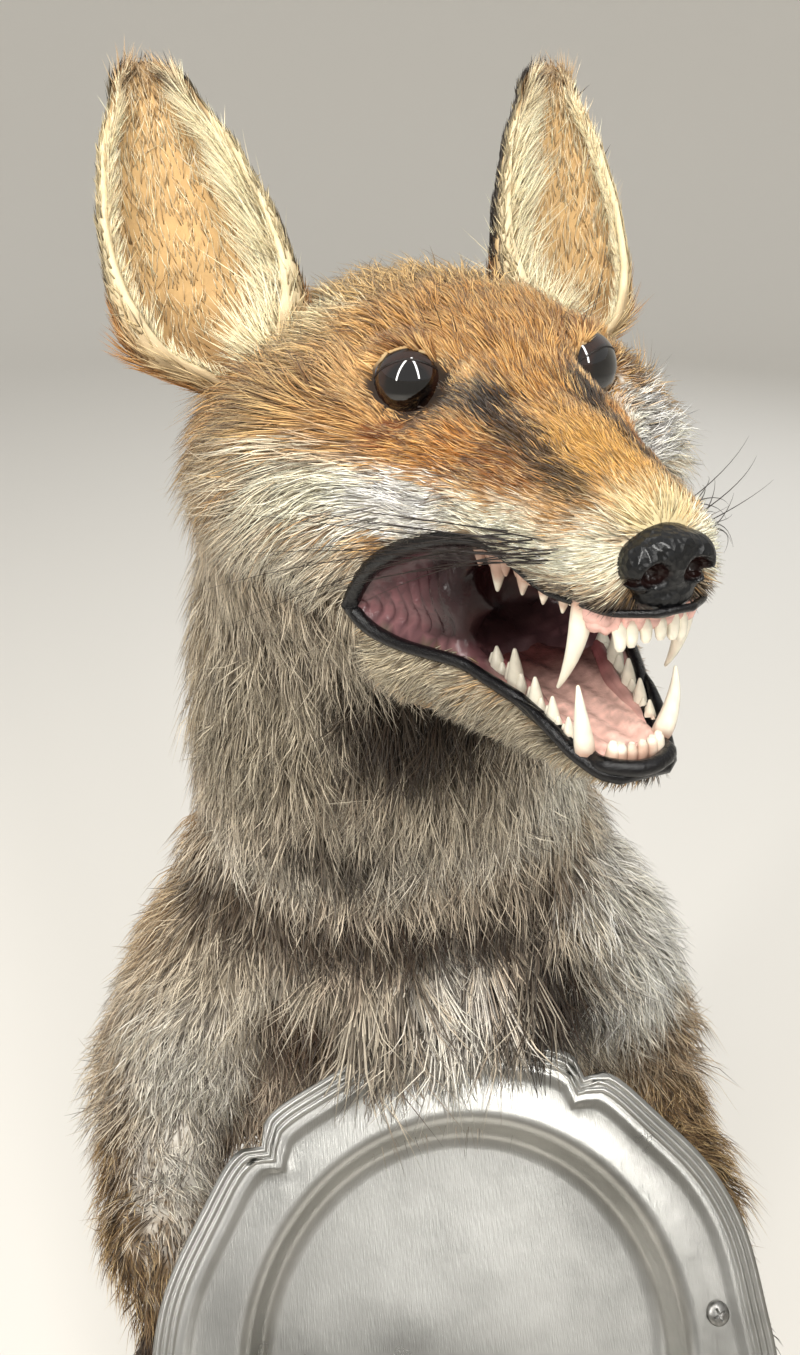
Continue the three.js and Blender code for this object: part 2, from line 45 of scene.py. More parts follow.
# frames that the pieces are drawn in, in mm: the head's origin is midway between the eyes, nose to -Y
headSet = {"middle": (17.0, -63.7, 880.0), "turn": 14.2, "raise": 6.4}
dishSet = {"middle": (10.0, -140.0, 548.3), "tilt": 44.0, "rim": 112.5, "well": 83.0, "floor": 73.0,
           "depth": 13.0,
           "thick": 2.6, "lobes": 5, "firstNotch": 60.0, "notch": 7.0, "swell": 2.4, "screwRadius": 92.5,
           "screwAngle": 4.4}
headMatrix = (Matrix.Translation(headSet["middle"]) @ Matrix.Rotation(math.radians(headSet["turn"]), 4, "Z")
              @ Matrix.Rotation(math.radians(-headSet["raise"]), 4, "X"))
headTurn = np.array(headMatrix)[:3, :3]
dishMatrix = Matrix.Translation(dishSet["middle"]) @ Matrix.Rotation(math.radians(dishSet["tilt"]), 4, "X")
screwPlace = [dishSet["screwRadius"] * f(math.radians(dishSet["screwAngle"])) for f in (math.cos, math.sin)]


def toWorld(matrix, points):
    m = np.array(matrix)
    return np.asarray(points, float) @ m[:3, :3].T + m[:3, 3]


def toHead(points):
    return toWorld(headMatrix.inverted(), points)


def headPoint(place):
    # a place in the head's frame, as a point of the scene in metres
    return Vector(toWorld(headMatrix, place) * mm)


def linear(hexColour):
    parts = [int(hexColour[i:i + 2], 16) / 255 for i in (1, 3, 5)]
    return np.array([c / 12.92 if c <= 0.04045 else ((c + 0.055) / 1.055) ** 2.4 for c in parts])


def colour4(hexColour):
    return (*linear(hexColour), 1.0)


def tint(colour, hexColour, weight):
    # each point's colour drawn towards another by its weight
    return colour + (linear(hexColour) - colour) * np.asarray(weight, float)[:, None]


def smooth(x, low, high):
    t = np.clip((x - low) / (high - low), 0, 1)
    return t * t * (3 - 2 * t)


def unit(v):
    return v / np.maximum(np.linalg.norm(v, axis=1), 1e-9)[:, None]


def valueAt(table, place):
    # straight runs between the (place, value) pairs of a table
    return np.interp(place, *np.array(table).T)


def waves(points, scale, seed):
    # smooth wandering value, about -2 to 2
    draw = np.random.default_rng(seed)
    ways = draw.normal(size=(10, 3))
    ways *= (draw.uniform(0.6, 1.6, 10) / np.linalg.norm(ways, axis=1))[:, None]
    return np.sin(points @ ways.T * (fullTurn / scale) + draw.uniform(0, 6.28, 10)).sum(1) / 2.24


def uneven(colour, points, amount, scale, seed):
    # a painted finish is never of one tone
    return colour * (1 + amount * waves(points, scale, seed))[:, None].clip(0.5, 1.6)


def addNode(tree, kind, settings=None, links=None, output=0):
    node = tree.nodes.new(kind)
    for key, value in (settings or {}).items():
        if key == "stops":
            elements = node.color_ramp.elements
            while len(elements) < len(value):
                elements.new(0.5)
            for element, (at, colour) in zip(elements, value):
                element.position, element.color = at, colour4(colour)
        elif isinstance(key, int) or key in node.inputs:
            node.inputs[key].default_value = value
        else:
            setattr(node, key, value)
    for socket, source in (links or {}).items():
        tree.links.new(source, node.inputs[socket])
    return node.outputs[output]


def newMaterial(name, settings, patterns=None):
    # patterns(tree) gives the sockets that drive the shader's inputs
    material = bpy.data.materials.new(name)
    material.use_nodes = True
    tree = material.node_tree
    shader = tree.nodes["Principled BSDF"]
    for key, value in settings.items():
        shader.inputs[key].default_value = value
    for key, source in (patterns(tree) if patterns else {}).items():
        tree.links.new(source, shader.inputs[key])
    return material


def grain(tree, scale, detail=3.0, roughness=0.5, stretch=(1, 1, 1), turn=(0, 0, 0)):
    # uneven speckle fixed to the piece
    where = addNode(tree, "ShaderNodeMapping", {"Scale": stretch, "Rotation": turn}, {
        "Vector": addNode(tree, "ShaderNodeTexCoord", output="Object")})
    return addNode(tree, "ShaderNodeTexNoise", {"Scale": scale, "Detail": detail, "Roughness": roughness}, {
        "Vector": where})


def paintedMaterial(name, settings, grainScale=0, depth=0.0):
    # coloured point by point by the piece itself, with a fine grain where a scale is given
    def patterns(tree):
        found = {"Base Color": addNode(tree, "ShaderNodeVertexColor", {"layer_name": "coatColour"})}
        if grainScale:
            found["Normal"] = addNode(tree, "ShaderNodeBump", {"Strength": 0.6, "Distance": depth}, {
                "Height": grain(tree, grainScale, 5.0, 0.6)})
        return found
    return newMaterial(name, settings, patterns)


def objectOf(name, mesh, smoothShade=True):
    obj = bpy.data.objects.new(name, mesh)
    bpy.context.scene.collection.objects.link(obj)
    if smoothShade:
        mesh.shade_smooth()
    return obj


def finishPiece(name, mesh, material, nodes=(), smoothShade=True):
    obj = objectOf(name, mesh, smoothShade)
    if material is not None:
        mesh.materials.clear()
        mesh.materials.append(material)
    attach(obj, "root")
    if nodes:
        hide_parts(*nodes)


def meshOf(name, work):
    mesh = bpy.data.meshes.new(name)
    work.to_mesh(mesh)
    work.free()
    return mesh


def applied(obj):
    result = bpy.data.meshes.new_from_object(obj.evaluated_get(bpy.context.evaluated_depsgraph_get()))
    result.name = obj.name
    bpy.data.objects.remove(obj)
    return result


def remeshed(name, mesh, voxel):
    obj = objectOf(name, mesh)
    remesh = obj.modifiers.new("remesh", "REMESH")
    remesh.mode, remesh.voxel_size = "VOXEL", voxel * mm
    return applied(obj)


def readMesh(items, name, wide=3, kind=np.float32):
    values = np.empty(len(items) * wide, kind)
    items.foreach_get(name, values)
    return values.reshape(-1, wide).astype(int if kind is np.int32 else float)


def pointsOf(mesh):
    return readMesh(mesh.vertices, "co") / mm


def movePoints(mesh, points):
    mesh.vertices.foreach_set("co", (points * mm).astype(np.float32).ravel())
    mesh.update()


def setColours(mesh, colours):
    layer = mesh.color_attributes.new("coatColour", "FLOAT_COLOR", "POINT")
    full = np.ones((len(mesh.vertices), 4), np.float32)
    full[:, :3] = np.clip(colours, 0, 1)
    layer.data.foreach_set("color", full.ravel())


def sweep(name, strands, resolution=2):
    # strands of (x, y, z, radius) in mm become closed round tubes
    curve = bpy.data.curves.new(name, "CURVE")
    curve.dimensions, curve.use_fill_caps = "3D", True
    curve.bevel_depth, curve.bevel_resolution = mm, resolution
    for strand in strands:
        spline = curve.splines.new("POLY")
        spline.points.add(len(strand) - 1)
        for point, (x, y, z, r) in zip(spline.points, strand):
            point.co, point.radius = (x * mm, y * mm, z * mm, 1), max(r, 0.02)
    obj = bpy.data.objects.new(name, curve)
    bpy.context.scene.collection.objects.link(obj)
    bpy.context.view_layer.update()
    return applied(obj)


def relax(points, edges, weights, rounds):
    # each point moves towards the middle of its neighbours, fewer times where its weight is low
    ends = np.concatenate([edges, edges[:, ::-1]])
    count = np.bincount(ends[:, 0], minlength=len(points))[:, None]
    for step in range(rounds):
        near = np.stack([np.bincount(ends[:, 0], points[ends[:, 1], k], len(points)) for k in range(3)], 1)
        share = np.clip(weights * rounds - step, 0, 1)[:, None] * 0.6
        points = points + (near / count - points) * share
    return points


# eyes: where each ball sits in the head's frame, which way it looks, and its almond opening
eyeSet = {"radius": 10.5, "x": 24.4, "shift": 2.9, "y": 4.1, "z": -1.9, "outward": 25.0, "upward": 5.0,
          "openWide": 9.5, "openTall": 6.9, "lid": 0.4, "brow": {-1: 0.9, 1: 0.74}, "pointed": 1.75}


def eyeFrame(side):
    out, up = math.radians(eyeSet["outward"]), math.radians(eyeSet["upward"])
    axis = np.array([side * math.sin(out) * math.cos(up), -math.cos(out) * math.cos(up), math.sin(up)])
    across = np.cross(axis, [0, 0, 1.0])
    across /= np.linalg.norm(across)
    across *= -1 if across[0] * side < 0 else 1   # points outward, away from the nose
    rise = np.array([0, 0, 1.0]) - axis * axis[2]
    rise /= np.linalg.norm(rise)
    middle = np.array([side * eyeSet["x"] + eyeSet["shift"], eyeSet["y"], eyeSet["z"]])
    return middle, axis, across, rise


def eyeFace(local, side):
    # how far outside the opening (1 is its edge), the way and distance from the ball's middle, ahead and up
    middle, axis, across, rise = eyeFrame(side)
    away = local - middle
    u, v, w = away @ across, away @ rise, away @ axis
    tall = eyeSet["openTall"] * np.where(v > 0, eyeSet["brow"][side], 1)
    wide = eyeSet["openWide"] * np.where(u < 0, 1.12, 1)
    power = eyeSet["pointed"]
    ring = (np.abs(u / wide) ** power + np.abs(v / tall) ** power) ** (1 / power)
    return ring, away, np.linalg.norm(away, axis=1), w, v


def roundEyes(local, reach, behind=-8):
    # for each eye: the same ring and way, which points are near the ball, and how high they are
    for side in sides:
        ring, away, distance, w, v = eyeFace(local, side)
        yield ring, away, (distance < reach) & (w > behind), v


# side view of the lips in the head's frame: (y, z) from the front to the corner;
# their half width and thickness by y
lipLine = {
    "upper": [(-87, -37.8), (-79, -38.6), (-72, -38.6), (-61, -39), (-52, -36.5), (-47, -31.5), (-40, -30.3),
              (-28, -33.2), (-21, -36), (-12, -40.5), (-5, -46), (0, -53), (2.5, -58)],
    "lower": [(-80, -77.2), (-74, -76.2), (-68, -74.2), (-62, -71), (-55, -68), (-42, -65.7), (-29, -64.8),
              (-16, -65.4), (-6, -64), (0, -61.5), (2.5, -58)],
}
lipWide = {
    "upper": [(-86, 3), (-80, 11.5), (-70, 14), (-60, 16), (-50, 19), (-40, 23), (-30, 27.5), (-20, 32),
              (-10, 37),
              (0, 41)],
    "lower": [(-79.4, 1), (-79, 3.6), (-77.8, 6.4), (-76, 8.4), (-73, 10.2), (-69, 11.8), (-65, 13.2),
              (-52, 17.2),
              (-36, 23.5), (-24, 30), (-10, 37), (0, 41)],
}
lipThick = {
    "upper": [(-86, 0.9), (-78, 0.85), (-66, 1.0), (-55, 1.2), (-40, 1.9), (-15, 2.5), (3, 2.4)],
    "lower": [(-80, 2.0), (-66, 2.0), (-52, 1.8), (-36, 1.6), (-15, 1.8), (3, 2.3)],
}
mouthWide = [(-90, 15), (-60, 18), (-40, 25), (-20, 33.5), (-10, 38.5), (0, 41.5)]


def mouthDepth(local):
    # above 0 inside the lips: the open mouth and the web of cheek at its corners
    y, z = local[:, 1], local[:, 2]
    return np.where(y < 3, np.minimum(valueAt(lipLine["upper"], y) - z, z - valueAt(lipLine["lower"], y)),
                    -9.0)


def webFolds(local, lag=0.0):
    # ripples of the cheek web, in rings round the corner of the mouth
    reach = np.hypot(local[:, 1] - 2, (local[:, 2] + 58) * 1.25)
    return np.sin(reach * fullTurn / 3.6 + 0.8 * np.sin(local[:, 2] * 0.35) - lag)


# body parts as chains of (x, y, z, radius), root to end, for the lie, length and depth of the coat
chains = {
    "head": [(17, -160, 850, 14), (14, -100, 858, 28), (10, -55, 866, 50), (6, -10, 862, 70),
             (2, 30, 850, 66)],
    "neck": [(4, 6, 850, 62), (0, 3, 818, 72), (-3, 1, 780, 76), (-4, 0, 742, 76), (-3, 1, 706, 76)],
    "trunk": [(-3, 1, 706, 76), (0, 3, 632, 80), (0, 6, 540, 76), (0, 8, 480, 72), (0, 11, 425, 72),
              (0, 15, 375, 70), (0, 20, 330, 60)],
    "armRight": [(-62, -10, 674, 34), (-77, -14, 640, 40), (-92, -8, 602, 38), (-105, 0, 564, 35),
                 (-108, 4, 532, 30)],
    "forearmRight": [(-108, 4, 530, 30), (-110, -28, 532, 28), (-106, -62, 540, 26), (-101, -98, 555, 22)],
    "pawRight": [(-99, -98, 557, 16), (-94, -122, 535, 16), (-92, -146, 515, 12)],
    "legRight": [(-42, 22, 360, 46), (-50, 8, 318, 42), (-58, -14, 272, 36), (-61, -32, 236, 26),
                 (-60, -6, 200, 21), (-57, 30, 155, 15), (-55, 46, 108, 12), (-53, 20, 60, 14)],
    "footRight": [(-53, 14, 44, 14), (-53, -20, 42, 16), (-53, -58, 38, 12)],
    "tail": [(0, 62, 352, 26), (0, 92, 318, 30), (1, 118, 268, 37), (2, 138, 208, 43), (3, 154, 150, 45),
             (4, 174, 100, 42), (5, 204, 72, 34), (6, 250, 60, 18)],
}
for partName in ("arm", "forearm", "paw", "leg", "foot"):
    chains[partName + "Left"] = [(-x, y, z, r) for x, y, z, r in chains[partName + "Right"]]
# the left forepaw is nearer the middle than the right one
chains["forearmLeft"][-1] = (116, -98, 555, 22)
chains["pawLeft"] = [(112, -98, 557, 16), (110, -122, 535, 16), (110, -146, 515, 12)]
chainNames = list(chains)
plainNames = np.array([name.replace("Right", "").replace("Left", "") for name in chainNames])
# the lower jaw belongs to the head too: its middle line in the head's frame
jawLine = np.array([(0, -6, -68, 36), (0, -40, -77, 24), (0, -78, -79, 13)], float)
noseTip = np.array([0.0, -84.0, -26.0])

# coat by body part, mm: how deep it stands over the skin, lock length, width, lift in degrees, locks per mm2
coatSet = {
    "head": (7.0, 17.0, 0.52, 22, 0.86), "neck": (11.0, 26.0, 0.56, 27, 0.37),
    "trunk": (11.0, 32.0, 0.74, 25, 0.14), "arm": (5.0, 28.0, 0.64, 30, 0.25),
    "forearm": (4.5, 18.0, 0.62, 27, 0.34), "paw": (1.8, 6.0, 0.75, 16, 0.24),
    "leg": (5.5, 18.0, 1.1, 24, 0.085), "foot": (1.6, 6.0, 0.75, 16, 0.18),
    "tail": (16.0, 38.0, 1.5, 32, 0.12),
}


def chainShares(points):
    # how much each chain has a say at each point, and the lie of the hair along it
    shares, lies = [], []
    for name in chainNames:
        chain = np.array(chains[name], float)
        pairs = list(zip(chain[:-1], chain[1:]))
        if name == "head":
            jaw = np.column_stack([toWorld(headMatrix, jawLine[:, :3]), jawLine[:, 3]])
            pairs += list(zip(jaw[:-1], jaw[1:]))
        best = np.full(len(points), 1e9)
        lie = np.zeros((len(points), 3))
        for a, b in pairs:
            step = b[:3] - a[:3]
            t = np.clip(((points - a[:3]) @ step) / (step @ step), 0, 1)
            away = np.linalg.norm(points - a[:3] - t[:, None] * step, axis=1) / (a[3] + (b[3] - a[3]) * t)
            closer = away < best
            best = np.where(closer, away, best)
            lie[closer] = step / np.linalg.norm(step)
        shares.append(np.exp(-(best / 0.42) ** 2))
        lies.append(lie)
    shares = np.array(shares) + 1e-12
    shares = (shares / shares.sum(0)) ** 2
    return shares / shares.sum(0), np.array(lies)


def partValue(shares, column):
    return np.array([coatSet[name][column] for name in plainNames]) @ shares


def partShare(shares, *names):
    return shares[np.isin(plainNames, names)].sum(0)


def faceShare(local):
    # 1 on the muzzle, 0 at the ruff and crown
    return 1 - smooth(local[:, 1], -30, 45)


def coatDepth(points, shares):
    _, y, z = toHead(points).T
    face = 1 - smooth(y, -30, 45)
    muzzle = np.maximum(smooth(-y, 18, 45), smooth(-z, 50, 62) * (y < 5))
    depth = partValue(shares, 0) + shares[0] * (1.3 * face + 8.5 * (1 - face) - 7.0)
    depth = depth * (1 - 0.75 * muzzle * shares[0])
    depth = depth * (1 - 0.85 * partShare(shares, "leg") * (1 - smooth(points[:, 2], 130, 230)))
    tail = partShare(shares, "tail")
    return depth * (1 - tail) + tail * (8 + 13 * smooth(points[:, 1], 66, 130))


# skin: every flesh node drawn together, smoothed, and drawn in by the depth of the coat
skinSet = {"voxel": 3.2, "inflate": 0.9, "smoothing": 44, "lipInflate": 1.3}
fleshNodes = ["head", "lower_jaw", "neck", "trunk", "tail_root", "tail_middle", "tail_tip"] + [
    part + side for part in ("upper_arm", "forearm", "forepaw", "thigh", "shank", "hind_foot")
    for side in sides.values()]
# balls in the head's frame that fill the eye sockets and back the nose
skinPlugs = [(eyeFrame(side)[0], 11.6) for side in sides] + [((0, -74.0, -28.6), 7.6),
                                                             ((0, -74.0, -34.5), 5.0)]


def makeBaseSkin():
    whole = bmesh.new()
    for name in fleshNodes:
        part = bmesh.new()
        part.from_mesh(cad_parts[name].data)
        bmesh.ops.remove_doubles(part, verts=part.verts, dist=1e-6)
        part.normal_update()
        inverse = headMatrix.inverted()
        for vert in part.verts:
            # the muzzle and jaw get a little more, so that their skin still meets the lips once smoothed
            y = (inverse @ (vert.co / mm)).y
            ahead = 0
            if name == "head":
                ahead = smooth(-y, 25, 50)
            elif name == "lower_jaw":
                ahead = 0.6 * smooth(-y, 5, 35)
            vert.co += vert.normal * (skinSet["inflate"] + skinSet["lipInflate"] * ahead) * mm
        mesh = meshOf("part", part)
        whole.from_mesh(mesh)
        bpy.data.meshes.remove(mesh)
    for middle, radius in skinPlugs:
        bmesh.ops.create_icosphere(whole, subdivisions=3, radius=radius * mm,
                                   matrix=Matrix.Translation(headPoint(middle)))
    return remeshed("skin", meshOf("skin", whole), skinSet["voxel"])


def cutFaceFiner(mesh):
    # smaller faces round the eyes, mouth and muzzle, for lids and folds
    work = bmesh.new()
    work.from_mesh(mesh)
    inverse = headMatrix.inverted()
    fine = set()
    for face in work.faces:
        p = inverse @ (face.calc_center_median() / mm)
        nearEye = min(math.hypot(p.x - 27.3, p.z), math.hypot(p.x + 21.5, p.z)) < 24
        if -100 < p.y < 14 and abs(p.x) < 60 and p.z > -60 and (nearEye or p.z < -24 or p.y < -40):
            fine.update(face.edges)
    bmesh.ops.subdivide_edges(work, edges=list(fine), cuts=1, use_grid_fill=True)
    bmesh.ops.triangulate(work, faces=[f for f in work.faces if len(f.verts) > 4])
    work.to_mesh(mesh)
    work.free()


def shapeLids(local, side):
    ring, away, distance, w, _ = eyeFace(local, side)
    inside = (w > -1) & (ring < 1) & (distance < 22)
    lid = (w > -1) & (ring >= 1) & (ring < 1.75) & (distance < 20)
    target = np.where(inside, eyeSet["radius"] - 1.6, distance)
    proud = eyeSet["radius"] + eyeSet["lid"] + 0.4 * smooth(ring, 1, 1.4)
    # the lids close down on the ball and run out into the brow and cheek
    blend = 1 - smooth(ring, 1.12, 1.75)
    target = np.where(lid, np.maximum(distance * (1 - blend) + proud * blend, proud), target)
    return local + away / distance[:, None] * (target - distance)[:, None] * (distance < 22)[:, None]


def skinWeights(points, shares):
    # how much of the smoothing each point takes: little at paws, lower legs, muzzle and lips
    local = toHead(points)
    x, y, z = local.T
    onHead = shares[0] > 0.2
    weights = 1 - 0.9 * np.clip(partShare(shares, "paw", "foot"), 0, 1)
    weights -= 0.85 * (1 - smooth(points[:, 2], 150, 240)) * (points[:, 1] < 70)
    weights -= shares[0] * 0.55 * faceShare(local)
    weights -= shares[0] * 0.3 * smooth(-y, 15, 40)
    weights = np.where((z < -60) & (y < -5) & (shares[0] > 0.3), 0.04, weights)
    mouth = (mouthDepth(local) > -6) & (np.abs(x) < 60) & onHead
    return np.clip(np.where(mouth, 0.06, weights), 0.04, 1)


def makeSkin():
    mesh = makeBaseSkin()
    cutFaceFiner(mesh)
    points, edges = pointsOf(mesh), readMesh(mesh.edges, "vertices", 2, np.int32)
    shares, _ = chainShares(points)
    onHead = shares[0] > 0.2
    points = relax(points, edges, skinWeights(points, shares), skinSet["smoothing"])
    movePoints(mesh, points)
    # drawn in by the depth of the coat, but not inside the mouth, and only sideways along the lips
    normals = readMesh(mesh.vertex_normals, "vector")
    local = toHead(points)
    x, y, z = local.T
    muzzle = smooth(-y, 18, 45) * shares[0]
    inMouth = smooth(mouthDepth(local), -4.0, 0.5) * onHead * (
        1 - smooth(np.abs(x) - valueAt(mouthWide, y), 0, 3.5))
    depth = (coatDepth(points, shares) + skinSet["inflate"] * (1 - 0.6 * muzzle)) * (1 - inMouth)
    gap = np.minimum(np.abs(z - valueAt(lipLine["upper"], y)), np.abs(z - valueAt(lipLine["lower"], y)))
    normals[:, 2] *= 1 - (1 - smooth(gap, 3, 8)) * smooth(-y, 2, 20) * onHead
    points = relax(points - normals * depth[:, None], edges,
                   np.where((inMouth > 0.1) | (muzzle > 0.3), 0.15, 1.0), 5)
    local = toHead(points)
    for side in sides:
        local = shapeLids(local, side)
    # skin between the lower teeth stays under the floor of the mouth
    x, y, z = local.T
    along = ((y + 73.5) / 58).clip(0, 1)
    bed = (np.abs(x) < 7.5 + 9 * along) & (y < -20) & (y > -75) & (np.abs(z + 74) < 6) & onHead
    local[bed, 2] = np.minimum(z[bed], (-79.6 + 7.6 * along ** 0.8)[bed])
    # wrinkled web of cheek inside the corners of the lips
    web = smooth(mouthDepth(local), 1.0, 5.0) * smooth(y, -40, -28) * onHead * (np.abs(x) > 16)
    local[:, 0] += np.sign(x) * web * webFolds(local) * 0.55
    movePoints(mesh, toWorld(headMatrix, local))
    print("skin", len(points), "points,", len(mesh.polygons), "faces")
    return mesh


skinMesh = makeSkin()

skinTree = BVHTree.FromPolygons([v.co for v in skinMesh.vertices], [p.vertices[:] for p in skinMesh.polygons])


def onSkin(place):
    # the skin's nearest point to a place in the head's frame, in metres, and how far off it is
    found, _, _, gap = skinTree.find_nearest(headPoint(place))
    return found, gap


# markings and painted shade, shared by skin and coat: soft spots at (x, y, z) with their reach in mm, colour
# and strength
baseColours = {"head": "#CBA06C", "neck": "#D6CAB6", "trunk": "#D2C1AD", "arm": "#D0C3AE",
               "forearm": "#8E7350", "paw": "#3E3025", "leg": "#AB7C4A", "foot": "#30261E", "tail": "#AC7E4B"}
marksAndShade = {
    "headPairs": [
        ((0, 45, 28), (70, 38, 34), "#DDBC83", 0.85), ((0, 8, 16), (42, 32, 17), "#C28F50", 0.92),
        ((0, -22, 3), (13, 16, 10), "#B98544", 0.92), ((0, -52, -10), (12, 24, 9), "#D2A256", 0.95),
        ((38, 44, 10), (18, 16, 12), "#F2E2B8", 0.85), ((0, -78, -19), (12, 12, 9), "#E6D6A8", 0.95),
        ((26, 3, 14), (15, 9, 5), "#7D4F2C", 0.75), ((45, -2, -8), (15, 16, 9), "#C39359", 0.8),
        ((54, 28, 10), (18, 18, 14), "#D2B583", 0.8), ((66, 20, -9), (18, 20, 13), "#A1865E", 0.8),
        ((78, 32, -24), (22, 26, 18), "#B3A283", 0.7), ((58, 12, -46), (26, 28, 20), "#E2DCCB", 0.9),
        ((44, 12, -58), (18, 24, 12), "#DDD6C4", 0.7), ((36, -16, -73), (22, 30, 14), "#D0C8B0", 0.85),
        ((40, 12, -78), (24, 20, 12), "#A39A84", 0.7), ((0, -20, -88), (30, 60, 18), "#A79E88", 0.7),
        ((37, -14, -27), (28, 28, 11.5), "#FFFDF2", 0.98), ((56, 2, -24), (18, 18, 10), "#F4ECD6", 0.9),
        ((19, -50, -29), (11, 26, 9), "#FBF4DE", 0.95), ((13, -74, -28), (8, 14, 9), "#FBF3DC", 0.95),
        ((26, -24, -13), (17, 14, 7), "#C28440", 0.97), ((36, -14, -14), (15, 12, 5), "#BF8643", 0.9),
        ((19, -41, -15), (6, 13, 6), "#8E5724", 0.9), ((16, -60, -23), (4, 8, 5), "#A67C45", 0.6),
        ((34, -7, -10.5), (11, 7, 2.4), "#713C1B", 0.9), ((52, 7, -3), (17, 14, 3), "#6A4828", 0.75),
        ((14.5, -23, -4), (7.5, 11, 6.5), "#332B26", 1.0), ((12.8, -34, -8), (4.6, 13, 4.8), "#463422", 0.95),
        ((12.3, -47, -12), (3.9, 13, 4.4), "#3D2B19", 0.95),
        ((12, -59, -15.5), (3.6, 11, 4), "#453420", 0.95),
        ((12, -45, -80), (26, 44, 12), "#A39A86", 0.97), ((0, -80, -80), (13, 10, 8), "#231C17", 1.0),
        ((11, -66, -73), (7.5, 14, 5), "#1A1511", 0.95), ((12, -65, -18), (3, 6, 3.2), "#6C5636", 0.8),
        ((0, -85, -40), (7, 7, 4.6), "#171311", 1.0), ((17, -10, -3.5), (4, 6, 3.5), "#4A433D", 0.85),
    ],
    "headSingles": [
        ((52, -4, -18), (15, 18, 15), "#FFFDF4", 1.0), ((44, -12, -14), (12, 12, 10), "#F8F3E6", 0.85),
        ((-84, 20, -20), (20, 40, 40), "#A78F69", 0.6),
    ],
    "bodyPairs": [
        ((0, 95, 600), (95, 66, 230), "#A96B31", 1.0), ((0, 90, 800), (90, 60, 80), "#B9884F", 0.9),
        ((0, 88, 420), (88, 62, 110), "#A66930", 0.95), ((0, 92, 730), (70, 52, 80), "#AA7640", 0.85),
        ((82, 44, 560), (40, 60, 190), "#AC7A45", 0.85), ((98, 5, 640), (30, 45, 60), "#B59468", 0.75),
        ((0, -70, 450), (70, 40, 110), "#CDC6B5", 0.85), ((70, 20, 380), (40, 60, 70), "#A8743F", 0.8),
        ((88, -42, 600), (16, 26, 46), "#E0D9CC", 0.85), ((116, 4, 560), (18, 34, 50), "#9B7A50", 0.8),
        ((60, -36, 236), (26, 16, 22), "#7A5230", 0.6), ((55, 30, 100), (24, 44, 50), "#3B2D22", 0.95),
    ],
    "bodySingles": [
        # the dark spots at the throat, from z 740 to 757, are painted shadow under the jaw, and the dark
        # spots across the breast, from z 600 to 702, are painted shade beneath each roll of fur
        ((-10, -50, 740), (62, 34, 34), "#7A6750", 0.65), ((2, -50, 757), (36, 30, 22), "#33271B", 0.97),
        ((44, -46, 742), (22, 34, 14), "#A89A84", 0.5), ((-52, -33, 750), (26, 34, 34), "#B4A993", 0.8),
        ((58, -30, 716), (26, 36, 28), "#FDF7EA", 0.97), ((-85, -5, 775), (18, 44, 60), "#AF9872", 0.7),
        ((-52, -37, 694), (30, 28, 13), "#EFE7D8", 0.9), ((-22, -50, 702), (32, 28, 12), "#40362A", 0.92),
        ((0, -50, 722), (40, 28, 10), "#CFC5B2", 0.7), ((22, -49, 702), (34, 28, 9), "#EFE7D8", 0.9),
        ((50, -37, 683), (34, 28, 8), "#BBAA94", 0.7), ((-74, -32, 672), (26, 30, 11), "#4E3D2D", 0.95),
        ((-28, -46, 661), (42, 30, 12), "#433426", 0.95), ((22, -46, 659), (44, 32, 15), "#3D2F23", 0.97),
        ((66, -36, 672), (20, 28, 8), "#6A5543", 0.85), ((-57, -37, 634), (24, 28, 12), "#EFE7D8", 0.95),
        ((-24, -45, 634), (22, 26, 10), "#D2C7B4", 0.85), ((14, -45, 634), (17, 28, 17), "#F4F0E8", 0.95),
        ((60, -36, 616), (36, 36, 36), "#3B2D21", 1.0), ((84, -36, 634), (14, 24, 13), "#EBE4D7", 0.85),
        ((-42, -42, 600), (26, 32, 24), "#5C4430", 0.92), ((-94, -40, 575), (26, 54, 52), "#FDF8EE", 0.98),
        ((-112, -45, 514), (36, 70, 32), "#5C4330", 0.95), ((104, -28, 624), (27, 46, 48), "#FFFFFA", 1.0),
        ((92, -30, 664), (26, 44, 28), "#FFFCF4", 1.0), ((118, -30, 560), (26, 40, 30), "#A88A66", 0.7),
        ((3, 172, 96), (60, 26, 60), "#5A4633", 0.7), ((3, 222, 58), (60, 44, 62), "#EFE8DA", 1.0),
    ],
}


